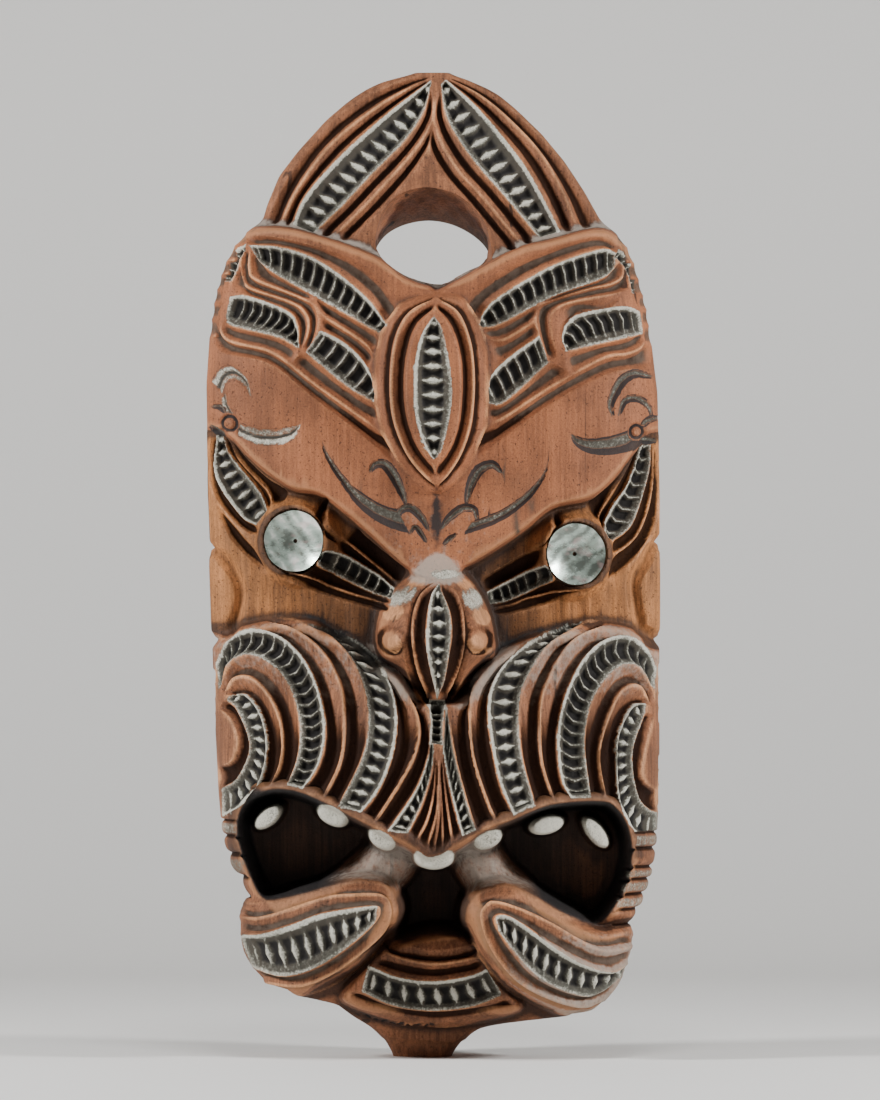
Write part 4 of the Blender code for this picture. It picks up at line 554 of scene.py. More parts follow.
STEM_ROUNDING = 0.8
CURL_KNOBS = [("ink", -206, 633, 6), ("ink", 202, 625, 5)]
STEMS = [([(-88, 160), (-62, 180), (-42, 202), (-34, 222)], 31),
         ([(78, 158), (56, 178), (42, 200), (36, 222)], 29)]
# Chalked patches on the nose: (x, z, long, short, turn)
NOSE_WHITES = [(10, 483, 15, 5, 0), (-33, 461, 16, 8, 28), (37, 459, 13, 9, -50)]
# Row of chips above the foot: (x, z, length, turn)
CHIPS = [(-67, 41, 4, -30), (-59, 38, 3, -10), (-51, 37, 4, 20), (-42, 35, 3, -15), (-34, 35, 4, 10),
         (-26, 33, 3, -25), (-18, 33, 5, 5), (-9, 32, 3, 30), (-3, 33, 3, -10)]
# Patches on the nose where the wood is rubbed bare, in the same form
NOSE_BARE = [(-19, 475, 10, 4, 15), (30, 473, 10, 4, -20), (-41, 445, 11, 7, 20), (46, 441, 10, 7, -35),
             (-40, 414, 7, 9, 0), (41, 414, 7, 9, 0)]
# The nostrils: (x, z, boss radius, radius of the groove that curls round it, outward side)
NOSTRILS = [(-42, 418, 9.5, 15.5, -1), (43, 418, 9.0, 15.0, 1)]


def spline(points, steps=10, closed=False):
    """Dense points on a smooth curve through the given ones."""
    given = np.array(points, float)
    if closed:
        ends = np.vstack([given[-1:], given, given[:2]])
    else:
        ends = np.vstack([2 * given[0] - given[1], given, 2 * given[-1] - given[-2]])
    share = np.linspace(0, 1, steps, endpoint=False)[:, None]
    pieces = []
    for a, b, c, d in zip(ends, ends[1:], ends[2:], ends[3:]):
        linear, square, cube = c - a, 2 * a - 5 * b + 4 * c - d, 3 * b - a - 3 * c + d
        pieces.append(b + 0.5 * (linear * share + square * share**2 + cube * share**3))
    if not closed:
        pieces.append(given[-1:])
    return np.vstack(pieces)


def lengths_along(line):
    """How far along the line each of its points lies."""
    return np.concatenate([[0], np.cumsum(np.hypot(*np.diff(line, axis=0).T))])


def resampled(line, count):
    """The same line as evenly spaced points."""
    length = lengths_along(line)
    even = np.linspace(0, length[-1], count)
    return np.column_stack([np.interp(even, length, line[:, k]) for k in (0, 1)])


def length_of(line):
    return np.hypot(*np.diff(line, axis=0).T).sum()


def crest(name):
    """A named line, or the stretch of one between two shares of its length."""
    if isinstance(name, str):
        return spline(LINES[name])
    line = resampled(spline(LINES[name[0]]), 201)
    first, last = round(name[1] * 200), round(name[2] * 200)
    return line[first:last + 1] if first < last else line[last:first + 1][::-1]


def smoothstep(low, high, value):
    share = np.clip((value - low) / (high - low), 0, 1)
    return share * share * (3 - 2 * share)


def blurred(field, times=1):
    for _ in range(times):
        padded = np.pad(field, 1, mode="edge")
        rows = (padded[:-2] + 2 * padded[1:-1] + padded[2:]) / 4
        field = (rows[:, :-2] + 2 * rows[:, 1:-1] + rows[:, 2:]) / 4
    return field


def curve_at(pairs, level):
    """A smooth reading of (level, value) pairs."""
    levels, values = np.array(pairs, float).T
    fine = np.linspace(levels[0], levels[-1], 800)
    read = np.interp(fine, levels, values)
    soft = np.convolve(np.pad(read, 4, mode="edge"), np.ones(9) / 9, mode="valid")
    return np.interp(level, fine, soft)


def half_width(side, level):
    return curve_at(LEFT_OUTLINE if side < 0 else RIGHT_OUTLINE, level)


def side_depth(level):
    arms = smoothstep(*ARM_SIDE_START, level) * (1 - smoothstep(*ARM_SIDE_END, level))
    plain = SIDE_DEPTH * (1 - CROWN_SLIMMING * smoothstep(*CROWN_LEVELS, level))
    return plain + (ARM_SIDE_DEPTH - SIDE_DEPTH) * arms


def log_depth(level):
    """Depth of the plain block on its centre line, before any feature."""
    return curve_at(LOG_DEPTHS, level)


class Canvas:
    """A field over the flat layout, in layout units both ways."""

    def __init__(self, step):
        self.step = step
        self.x = np.arange(-REACH, REACH + step, step)
        self.z = np.arange(-12, LAYOUT_UNITS + 12 + step, step)
        self.across, self.up = np.meshgrid(self.x, self.z)
        self.field = np.zeros(self.across.shape)

    def stamp(self, x, z, value):
        """Lays sampled values on the field, averaging those that share a cell."""
        column = np.rint((x - self.x[0]) / self.step).astype(int)
        row = np.rint((z - self.z[0]) / self.step).astype(int)
        inside = (column >= 0) & (column < len(self.x)) & (row >= 0) & (row < len(self.z))
        cell = row[inside] * len(self.x) + column[inside]
        low, high = cell.min(), cell.max() + 1
        count = np.bincount(cell - low, minlength=high - low)
        total = np.bincount(cell - low, weights=value[inside], minlength=high - low)
        hit = np.flatnonzero(count)
        self.field.ravel()[hit + low] = total[hit] / count[hit]

    def lay(self, value):
        """Keeps the higher of the field and the value at each place."""
        self.field = np.maximum(self.field, value)

    def read(self, x, z):
        """Bilinear reading of the field at scattered places."""
        column = np.clip((x - self.x[0]) / self.step, 0, len(self.x) - 1.001)
        row = np.clip((z - self.z[0]) / self.step, 0, len(self.z) - 1.001)
        left, low = column.astype(int), row.astype(int)
        right_share, top_share = column - left, row - low
        flat, width = self.field.ravel(), len(self.x)
        base = low * width + left
        lower = flat[base] * (1 - right_share) + flat[base + 1] * right_share
        upper = flat[base + width] * (1 - right_share) + flat[base + width + 1] * right_share
        return lower * (1 - top_share) + upper * top_share


def inside_distance(canvas, points, margin):
    """Distance from a closed outline, positive inside it and negative outside."""
    outline = spline(points, 5, closed=True)
    far = np.full(canvas.across.shape, -float(margin))
    columns = (canvas.x > outline[:, 0].min() - margin) & (canvas.x < outline[:, 0].max() + margin)
    rows = (canvas.z > outline[:, 1].min() - margin) & (canvas.z < outline[:, 1].max() + margin)
    x, z = np.meshgrid(canvas.x[columns], canvas.z[rows])
    nearest = np.full(x.shape, np.inf)
    inside = np.zeros(x.shape, bool)
    for (ax, az), (bx, bz) in zip(outline, np.roll(outline, -1, axis=0)):
        dx, dz = bx - ax, bz - az
        share = np.clip(((x - ax) * dx + (z - az) * dz) / max(dx * dx + dz * dz, 1e-9), 0, 1)
        nearest = np.minimum(nearest, (x - ax - share * dx) ** 2 + (z - az - share * dz) ** 2)
        if az != bz:
            inside ^= ((az > z) != (bz > z)) & (x < dx * (z - az) / dz + ax)
    signed = np.where(inside, 1, -1) * np.sqrt(nearest)
    far[np.ix_(rows, columns)] = np.maximum(signed, -margin)
    return far


def within(canvas, region, margin=30):
    return inside_distance(canvas, REGIONS[region], margin)


def line_distance(canvas, points):
    """Distance from an open line."""
    line = spline(points, 4)
    nearest = np.full(canvas.across.shape, np.inf)
    for (ax, az), (bx, bz) in zip(line, line[1:]):
        dx, dz = bx - ax, bz - az
        share = ((canvas.across - ax) * dx + (canvas.up - az) * dz) / max(dx * dx + dz * dz, 1e-9)
        share = np.clip(share, 0, 1)
        off_x, off_z = canvas.across - ax - share * dx, canvas.up - az - share * dz
        nearest = np.minimum(nearest, off_x**2 + off_z**2)
    return np.sqrt(nearest)


def dome(distance, reach):
    """A rounded rise from an outline to its full height at the given distance inside."""
    share = np.clip(distance / reach, 0, 1)
    return np.sqrt(1 - (1 - share) ** 2)


def stem_domes(canvas):
    """The arms that lean in the mouth, from 0 to 1."""
    highest = np.zeros(canvas.across.shape)
    for line, width in STEMS:
        highest = np.maximum(highest, dome(width - line_distance(canvas, line), width * STEM_ROUNDING))
    return highest


def ellipse(canvas, x, z, long, short, turn):
    """1 on the edge of a turned ellipse and less inside it."""
    cosine, sine = math.cos(math.radians(turn)), math.sin(math.radians(turn))
    along = (canvas.across - x) * cosine + (canvas.up - z) * sine
    aside = (canvas.up - z) * cosine - (canvas.across - x) * sine
    return np.sqrt((along / long) ** 2 + (aside / short) ** 2)


def blend(below, above, share):
    return below * (1 - share) + above * share


def relief_depths():
    """Depth, in metres, of the front before any line is cut, as the block's own centre depth."""
    canvas = Canvas(DEPTH_STEP)
    x, z = canvas.across, canvas.up
    depth = log_depth(z)
    centre = np.exp(-((x / BRIDGE_WIDTH) ** 2))

    brow = within(canvas, "brow")
    brow_depth = BROW_DEPTH + (BRIDGE_DEPTH - BROW_DEPTH) * centre * smoothstep(*BROW_SWELL, z)
    depth = blend(depth, brow_depth, smoothstep(*BROW_EDGE, brow))

    lozenge = within(canvas, "lozenge")
    lozenge_depth = BRIDGE_DEPTH + (LOZENGE_DEPTH - BRIDGE_DEPTH) * dome(lozenge, LOZENGE_DOME)
    depth = blend(depth, lozenge_depth, smoothstep(*LOZENGE_EDGE, lozenge))

    muzzle = within(canvas, "muzzle")
    lip_rim = LIP_RIM_LEVEL + LIP_RIM_SLOPE * np.minimum(np.abs(x), LIP_RIM_REACH)
    down = np.clip((MUZZLE_TOP - z) / (MUZZLE_TOP - lip_rim), 0, 1)
    lip_depth = LIP_TOP_DEPTH + (LIP_RIM_DEPTH - LIP_TOP_DEPTH) * np.sin(0.5 * np.pi * down)
    lip_depth = blend(lip_depth, JAW_DEPTH, smoothstep(*LIP_FALL, z))
    fade = smoothstep(*MUZZLE_EDGE, muzzle) * smoothstep(*MUZZLE_END, z)
    depth = blend(depth, lip_depth, fade)

    chin = within(canvas, "chin")
    chin_depth = CHIN_DEPTH - CHIN_STEP_DEPTH * smoothstep(*CHIN_STEP, z)
    chin_depth = chin_depth - CHIN_FALL_DEPTH * smoothstep(*CHIN_FALL, z)
    depth = blend(depth, chin_depth, smoothstep(*CHIN_EDGE, chin))

    mouth = within(canvas, "mouth", WIDE_MARGIN)
    floor = MOUTH_BACK_WALL + (STEM_DEPTH - MOUTH_BACK_WALL) * stem_domes(canvas)
    depth = blend(depth, floor, smoothstep(*MOUTH_EDGE, mouth))
    for tooth in TEETH:
        bump = smoothstep(1.25, 0.85, ellipse(canvas, *tooth))
        depth = np.maximum(depth, blend(depth, TOOTH_DEPTH, bump * smoothstep(*TOOTH_EDGE, mouth)))

    for side in ("arm_left", "arm_right"):
        arm = within(canvas, side, ARM_MARGIN)
        arm_depth = ARM_EDGE_DEPTH + (ARM_DEPTH - ARM_EDGE_DEPTH) * dome(arm, ARM_DOME)
        depth = blend(depth, arm_depth, smoothstep(*ARM_EDGE, arm))

    nose = within(canvas, "nose", WIDE_MARGIN)
    peak = curve_at(NOSE_PROFILE, z)
    root = np.minimum(depth, peak)
    nose_depth = root + (peak - root) * dome(nose, NOSE_DOME)
    depth = np.where(nose > 0, np.maximum(depth, nose_depth), depth)
    for knob_x, knob_z, boss, groove, outward in NOSTRILS:
        near = np.hypot(x - knob_x, z - knob_z)
        open_side = smoothstep(-6, 4, outward * (x - knob_x) - 0.4 * (z - knob_z))
        ring = smoothstep(groove + 1.5, groove - 1.5, near) * smoothstep(boss - 1, boss + 1, near)
        depth = depth - NOSTRIL_GROOVE_DEPTH * ring * open_side + NOSTRIL_RISE * dome(boss + 1 - near, boss)

    canvas.field = blurred(depth)
    return canvas


def section(side, level, steps=90):
    """The plain block's outline at one level, from the centre round to the back edge.

    Gives arc length, layout x (which runs on past the front outline down the side), true x
    and the share of the front's depth at each place, all in layout units but the last.
    """
    width = half_width(side, level)
    edge = side_depth(level) / UNIT
    front = log_depth(level) / UNIT - edge
    power = np.interp(level, *np.array(ROUNDNESS).T)
    turn = np.linspace(0, 0.5 * math.pi, steps)
    across = np.sin(turn)
    share = (1 - across**power) ** (1 / power)
    share[-1] = 0
    back_width = width * curve_at(BACK_SHARE, level)
    down = np.linspace(0, 1, 24)[1:]
    wall = math.hypot(width - back_width, edge)
    layout_x = np.concatenate([width * across, width + wall * down])
    true_x = np.concatenate([width * across, width + (back_width - width) * down])
    depth = np.concatenate([edge + front * share, edge * (1 - down)])
    arc = lengths_along(np.column_stack([true_x, depth]))
    return arc, layout_x, true_x, np.concatenate([share, 0 * down]), depth


def eye_plane(side):
    """Centre of a shell's rim and the turned frame it sits in."""
    x, z = EYES[side]
    outward = -1 if x < 0 else 1
    centre = Vector((x * UNIT, -EYE_DEPTH, z * UNIT))
    facing = Vector((outward * math.sin(EYE_TURN), -math.cos(EYE_TURN), 0))
    return centre, facing


def set_eyes(points):
    """Turns the wood round each shell into a disc with a raised ring and a dished seat."""
    for side in EYES:
        centre, facing = eye_plane(side)
        centre = np.array(centre)
        facing = np.array(facing)
        rise = (points - centre) @ facing
        flat = points - rise[..., None] * facing
        radius = np.linalg.norm(flat - centre, axis=-1)
        ring_outer = SHELL_RADIUS + SOCKET_RIM_WIDTH
        ring = SOCKET_RIM_RISE * smoothstep(ring_outer + SOCKET_RIM_SLOPE, ring_outer, radius)
        target = ring - SOCKET_RIM_RISE + SHELL_SET_BACK
        dish = np.minimum(radius / SHELL_RADIUS, 1) ** 2
        seat = -SHELL_DISH * (1 - dish) - SHELL_THICKNESS - FIT_GAP
        target = np.where(radius < SHELL_RADIUS + SEAT_ROOM, seat, target)
        share = smoothstep(ring_outer + SOCKET_BLEND, ring_outer, radius)
        share = share * (np.abs(rise) < SOCKET_REACH)
        points = points + ((target - rise) * share)[..., None] * facing
    return points


class Wiring:
    """Adds nodes to a tree, sets or joins their inputs, and lays them out in a row."""

    def __init__(self, tree):
        self.tree = tree

    def add(self, kind, feeds=None, **settings):
        item = self.tree.nodes.new(kind)
        item.location = (180 * (len(self.tree.nodes) % 12), -220 * (len(self.tree.nodes) // 12))
        for name, value in settings.items():
            setattr(item, name, value)
        for name, value in (feeds or {}).items():
            self.feed(item.inputs[name], value)
        return item

    def feed(self, socket, value):
        if isinstance(value, bpy.types.NodeSocket):
            self.tree.links.new(value, socket)
        else:
            socket.default_value = value

    def maths(self, operation, one, two):
        return self.add("ShaderNodeMath", {0: one, 1: two}, operation=operation).outputs[0]

    def times(self, one, two):
        return self.maths("MULTIPLY", one, two)

    def plus(self, one, two):
        return self.maths("ADD", one, two)

    def minus(self, one, two):
        return self.maths("SUBTRACT", one, two)

    def swing(self, value, middle, strength):
        return self.times(self.minus(value, middle), strength)

    def mix(self, share, below, above, blend_type="MIX"):
        item = self.add("ShaderNodeMix", data_type="RGBA", blend_type=blend_type)
        for index, value in ((0, share), (6, below), (7, above)):
            if not isinstance(value, bpy.types.NodeSocket) and index:
                value = (*tuple(value)[:3], 1)
            self.feed(item.inputs[index], value)
        return item.outputs[2]

    def between(self, value, low, high, start=0.0, end=1.0):
        """The value's place between two limits, eased and clamped."""
        return self.add("ShaderNodeMapRange", {0: value, 1: low, 2: high, 3: start, 4: end},
                        interpolation_type="SMOOTHSTEP").outputs[0]

    def reading(self, name):
        return self.add("ShaderNodeAttribute", attribute_name=name).outputs["Fac"]

    def object_place(self):
        return self.add("ShaderNodeTexCoord").outputs["Object"]

    def stretched(self, place, scale, turn=0.0):
        return self.add("ShaderNodeMapping", {"Vector": place, "Rotation": (0, turn, 0),
                                              "Scale": scale}).outputs[0]

    def noise(self, place, scale, detail=3.0, roughness=0.55):
        return self.add("ShaderNodeTexNoise", {"Vector": place, "Scale": scale, "Detail": detail,
                                               "Roughness": roughness}).outputs[0]


class Carving:
    """Canvases for the height of the cut lines, in metres, for what lies in them, and for the painted shade
    in their grooves.
    """

    # The groove layer holds painted shade in the cut hollows.
    NAMES = ("relief", "groove", "pigment", "sunk", "ink", "bare")
    CLEARED = {"groove": 0, "pigment": 0, "sunk": 0}

    def __init__(self, step):
        self.step = step
        self.layers = {name: Canvas(step) for name in self.NAMES}

    def stamp(self, x, z, values):
        for name, value in (self.CLEARED | values).items():
            spread = np.broadcast_to(value, x.shape)
            self.layers[name].stamp(x.ravel(), z.ravel(), spread.ravel())

    def field(self, name):
        return self.layers[name].field


def softened(field, reach):
    """The field averaged over a square of the given half width, twice."""
    for _ in range(2):
        for axis in (0, 1):
            total = np.cumsum(np.pad(field, [(reach + 1, reach) if k == axis else (0, 0) for k in (0, 1)],
                                     mode="edge"), axis=axis)
            upper = np.take(total, range(2 * reach + 1, total.shape[axis]), axis=axis)
            lower = np.take(total, range(0, total.shape[axis] - 2 * reach - 1), axis=axis)
            field = (upper - lower) / (2 * reach + 1)
    return field


def tooth_height(kind, along, centred, pitch, bend):
    """Height of a row of teeth, from 0 on the panel's floor to 1; centred is 0 on the row's line."""
    if kind == "pyramid":
        nearest = np.abs(along / pitch % 1 - 0.5) * 2
        star = 1 - np.minimum(nearest * 1.05 + centred * 0.75, 1)
        ridge = np.clip(1 - nearest / 0.30, 0, 1) * 0.62 * (1 - 0.5 * centred)
        return np.maximum(star, ridge)
    phase = (along / pitch + bend * centred) % 1
    return np.clip(1 - np.abs(phase - 0.5) / 0.24, 0, 1) * (1 - 0.25 * centred)


def cut_strip(carved, first, second, profile):
    """Cuts the band between two crests; the profile gives the layers' values."""
    one, two = crest(first), crest(second)
    length = max(length_of(one), length_of(two))
    width = np.hypot(*(resampled(one, 20) - resampled(two, 20)).T).max()
    steps_along = max(int(length / carved.step * 1.7), 8)
    steps_across = max(int(width / carved.step * 1.9), 6)
    one, two = resampled(one, steps_along), resampled(two, steps_along)
    along = lengths_along((one + two) / 2)
    gap = np.hypot(*(one - two).T)
    t, s = np.meshgrid(np.linspace(0, 1, steps_across), along)
    x, z = blend(one[:, :1], two[:, :1], t), blend(one[:, 1:], two[:, 1:], t)
    wide = np.broadcast_to(gap[:, None], t.shape)
    carved.stamp(x, z, profile(s, t, wide, along[-1], z))


def flute(kind, depth):
    """A gouged hollow: its kind says how the wood rises from it to the crests.

    Round: broad rounded ridges. Sharp: thin crests. Lip: sharp low down, and higher up each ridge leans,
    with its groove close under the outer crest. A narrow hollow is shallower. The groove layer it lays is
    painted shade down the hollow; on the lips higher up it is a painted shadow on the steep side under the
    outer crest.
    """
    def profile(along, across, gap, length, level):
        reach = 2.5 if kind == "lip" else 7
        run_out = smoothstep(0, reach, along) * smoothstep(0, reach, length - along)
        full = np.minimum(1, gap / 11) * (0.35 + 0.65 * run_out)
        edge = np.minimum(across, 1 - across) * gap
        sharp, sharp_painted_shade = 1 - np.abs(2 * across - 1) ** 2.4, smoothstep(0.7, 2.8, edge)
        if kind == "round":
            sharp = (0.5 - 0.5 * np.cos(2 * np.pi * across)) ** 0.8
            sharp_painted_shade = smoothstep(0.20, 0.40, across) * smoothstep(0.80, 0.62, across)
        if kind == "lip":
            low = smoothstep(375, 295, level)
            lean = 1 - np.abs(2 * across**1.67 - 1) ** 2
            lean_painted_shadow = smoothstep(0.40, 0.62, across) * smoothstep(0.3, 1.8, (1 - across) * gap)
            sharp = lean + (sharp - lean) * low
            sharp_painted_shade = 0.8 * lean_painted_shadow + (sharp_painted_shade - 0.8 * lean_painted_shadow) * low
        # groove: painted shade in the hollow, fading where the flute runs out
        return {"relief": -depth * full * sharp, "groove": sharp_painted_shade * (0.3 + 0.7 * run_out)}
    return profile


def flute_kind(line):
    """How the ridges beside a line are cut, by the part of the face that it's on."""
    name = line if isinstance(line, str) else line[0]
    return "round" if name.startswith(("brow", "lozenge", "crown", "arm", "chin")) else "sharp"


def panel(kind, pitch, bend, depth, middle):
    """A sunk channel with chalked rims, dark pits between teeth, and a greyed far slope."""
    def profile(along, across, gap, length, level):
        count = max(round(length / pitch), 1)
        ends = np.minimum(along, length - along)
        near, far = np.minimum(across * gap, ends), np.minimum((1 - across) * gap, ends)
        edge = np.minimum(near, far)
        sunk = smoothstep(0.4, 1.6, edge)
        off = np.where(across < middle, across / middle, (1 - across) / (1 - middle))
        off = np.minimum(off, ends / (0.4 * gap + 1e-6))
        slope = 0.25 + 0.75 * smoothstep(0.10, 0.62, off)
        centred = 1 - np.clip(off, 0, 1)
        teeth = tooth_height(kind, along, centred, length / count, bend)
        tip = 0.44 if kind == "pyramid" else 0.66
        ridge = smoothstep(tip, tip + 0.16, teeth) * smoothstep(0.05, 0.3, off)
        facet = smoothstep(0.15, 0.6, teeth)
        pit = smoothstep(0.26, 0.46, off) * (1 - smoothstep(0.16, 0.46, teeth))
        closed = 0.6 * smoothstep(1.8, 0.8, ends)
        rim = np.maximum(smoothstep(0.11 * gap + 1.1, 0.05 * gap + 0.5, across * gap), closed)
        far_rim = 0.66 * smoothstep(0.08 * gap + 1.0, 0.04 * gap + 0.4, far)
        grey_slope = 0.38 * smoothstep(0.62, 0.40, off) * (across > middle)
        chalk = np.maximum(np.maximum(0.95 * rim, far_rim), grey_slope)
        chalk = np.maximum(chalk, np.maximum(0.95 * ridge, 0.30 * facet * (1 - pit)))
        return {"relief": -depth * sunk * slope * (1 - 0.84 * teeth) * np.minimum(1, gap / 11),
                "pigment": chalk, "sunk": np.maximum(pit, 0.66 * smoothstep(0.2, 0.8, sunk))}
    return profile


def cut_curl(carved, spine, width, depth, layer):
    """A tapering V cut along a spine: one side black or chalked, the other side greyed."""
    line = resampled(spline(spine), 160)
    heading = np.gradient(line, axis=0)
    normal = np.column_stack([-heading[:, 1], heading[:, 0]]) / np.hypot(*heading.T)[:, None]
    taper = np.sin(np.linspace(0.12, math.pi - 0.12, len(line)))[:, None] ** 0.6
    across = np.linspace(-0.5, 0.5, int(width / carved.step * 2) + 3)[None]
    x = line[:, :1] + normal[:, :1] * across * width * taper
    z = line[:, 1:] + normal[:, 1:] * across * width * taper
    carved.stamp(x, z, curl_fill(across + 0.5 + 0 * x, depth * taper, layer))


def curl_fill(share, depth, layer):
    """What a curl holds, from one edge, 0, to the other, 1."""
    deep = -depth * (1 - np.abs(2 * share - 1) ** 1.5)
    if layer == "stain":
        return {"sunk": 0.55 * smoothstep(0, 0.3, share) * smoothstep(1, 0.7, share)}
    if layer == "pigment":
        line = smoothstep(0.34, 0.42, share) * smoothstep(0.60, 0.50, share)
        edge = smoothstep(0.07, 0.02, np.minimum(share, 1 - share))
        chalk = (0.86 - 0.26 * smoothstep(0.4, 0.6, share)) * (1 - line) * (1 - edge)
        return {"relief": deep, "pigment": chalk, "sunk": line, "ink": 0.8 * edge}
    black = np.maximum(smoothstep(0.42, 0.30, share), smoothstep(0.86, 0.94, share))
    return {"relief": deep, "ink": black, "sunk": 0.6 * (1 - black), "pigment": 0.44 * (1 - black)}


def cut_crescent(carved, first, second, depth, layer):
    """A curl between two given edges that meet at a point."""
    one, two = resampled(spline(first), 200), resampled(spline(second), 200)
    share = np.linspace(0, 1, 44)[None]
    x, z = blend(one[:, :1], two[:, :1], share), blend(one[:, 1:], two[:, 1:], share)
    room = np.minimum(1, np.hypot(*(one - two).T) / 8)[:, None]
    carved.stamp(x, z, curl_fill(share + 0 * x, depth * room, layer))


def cut_knob(carved, x, z, radius, depth, layer):
    """A small round boss with a ring cut round it."""
    across, up = carved.layers["relief"].across, carved.layers["relief"].up
    near = np.hypot(across - x, up - z)
    ring = smoothstep(radius - 1, radius + 0.5, near) * smoothstep(radius + 4, radius + 2.5, near)
    spot = near < radius + 4
    carved.field("relief")[spot] = -depth * ring[spot]
    for name in carved.NAMES[1:]:
        carved.field(name)[spot] = 0
    carved.field(layer)[spot] = 0.9 * ring[spot]


def cut_sides(carved, depth, lip_depth):
    """Flutes that run back round the sides from the brow, and the rings that close the spirals."""
    for side, levels in ((-1, SIDE_LEVELS_LEFT), (1, SIDE_LEVELS_RIGHT)):
        for upper, lower in zip(levels, levels[1:]):
            along = np.linspace(0, 1, 130)[:, None]
            across = np.linspace(0, 1, 50)[None]
            start_x = half_width(side, (upper + lower) / 2) - SIDE_FLUTE_START
            x = side * (start_x + SIDE_FLUTE_RUN * along + 0 * across)
            z = lower + (upper - lower) * across - SIDE_FLUTE_SAG * along**2
            fade = smoothstep(1, 0.7, along)
            hollow = fade * (1 - np.abs(2 * across - 1) ** 2)
            # groove: painted shade in the middle of each side flute
            carved.stamp(x, z, {"relief": -0.20 * depth * hollow,
                                "groove": 0.7 * smoothstep(0.3, 0.8, hollow)})
    for side, centre_x, centre_z, first, end, spacing, stretch in SPIRAL_SIDES:
        for inner in range(first, end, spacing):
            angle = np.linspace(-0.5 * math.pi, 0.5 * math.pi, 240)[:, None]
            across = np.linspace(0, 1, 44)[None]
            radius = inner + spacing * across
            x = side * (centre_x + radius * np.cos(angle) * SPIRAL_WIDTH)
            z = centre_z + radius * np.sin(angle) * stretch
            off = np.abs(2 * across - 1) + 0 * angle
            hollow = -lip_depth * 0.8 * (1 - off**2)
            if inner in CHALKED_RINGS:
                notch = smoothstep(0.15, 0.3, np.abs(angle / 0.22 % 1 - 0.5) + 0.3 * off)
                carved.stamp(x, z, {"relief": hollow, "pigment": 0.75 * smoothstep(0.45, 0.65, off),
                                    "sunk": 1 - 0.5 * notch})
            else:
                # groove: painted shade in the middle of each ring's hollow
                carved.stamp(x, z, {"relief": hollow, "groove": smoothstep(0.85, 0.5, off)})


def cut_jaws(carved, depth):
    """Rounded ridges that run back round the jaws from the mouth's rim, some of them chalked."""
    along = np.linspace(0, 1, 160)[:, None]
    across = np.linspace(0, 1, 48)[None]
    fade = smoothstep(0, 0.06, along) * smoothstep(1, 0.75, along)
    for side, top_x, low_x, levels, chalked in JAW_RIDGES:
        for ridge, (upper, lower) in enumerate(zip(levels, levels[1:])):
            start_x = curve_at([(levels[-1], low_x), (levels[0], top_x)], (upper + lower) / 2)
            x = side * (start_x + JAW_RUN * along + 0 * across)
            z = lower + (upper - lower) * across + 0 * along
            off = np.abs(2 * across - 1) + 0 * along
            # groove: painted shade in the grooves between the ridges
            carved.stamp(x, z, {"relief": -depth * fade * off**3,
                                "groove": fade * smoothstep(0.62, 0.9, off),
                                "pigment": 0.52 * fade * (ridge in chalked) * smoothstep(0.8, 0.5, off)})


def cut_foot(carved, depth):
    """Ledges stepped across the foot, each a little further back than the one above it."""
    flat = carved.layers["relief"]
    bend = flat.up - 0.0012 * flat.across**2 + 1.2 * np.sin(flat.across / 9)
    middle = smoothstep(80, 25, np.abs(flat.across))
    for level in FOOT_LEDGES:
        step = smoothstep(level + 9, level + 1, bend) * smoothstep(level - 3, level, bend)
        flat.field += depth * step * middle


def carve(sizes):
    """All cut lines, the pigment, dirt and black that lie in them, and the painted shade in their grooves.
    """
    carved = Carving(CANVAS_STEP)
    cut_foot(carved, sizes.ledge_depth)
    for first, second in PLAIN_FLUTES:
        cut_strip(carved, first, second, flute(flute_kind(first), sizes.flute_depth))
    for first, second in LIP_FLUTES:
        cut_strip(carved, first, second, flute("lip", sizes.lip_flute_depth))
    for first, second, kind, pitch, bend in PANELS:
        middle = TOOTH_LINES.get(first, 0.42 if kind == "wall" else 0.5)
        cut_strip(carved, first, second, panel(kind, pitch, bend, sizes.panel_depth, middle))
    for layer, spine, width in CURLS:
        cut_curl(carved, spine, width, sizes.curl_depth, layer)
    for layer, first, second in CRESCENTS:
        cut_crescent(carved, first, second, sizes.curl_depth, layer)
    for layer, x, z, radius in CURL_KNOBS:
        cut_knob(carved, x, z, radius, sizes.curl_depth, layer)
    flat = carved.layers["relief"]
    for side in ("ear_left", "ear_right"):
        ear = within(flat, side, EAR_MARGIN)
        groove = smoothstep(-16, -6, ear) * smoothstep(1, -5, ear)
        flat.field += EAR_KNOB_RISE * dome(ear, EAR_DOME) - EAR_GROOVE_DEPTH * groove
    cut_sides(carved, sizes.flute_depth, sizes.lip_flute_depth)
    cut_jaws(carved, sizes.jaw_depth)
    flat.field = blurred(flat.field)
    return carved


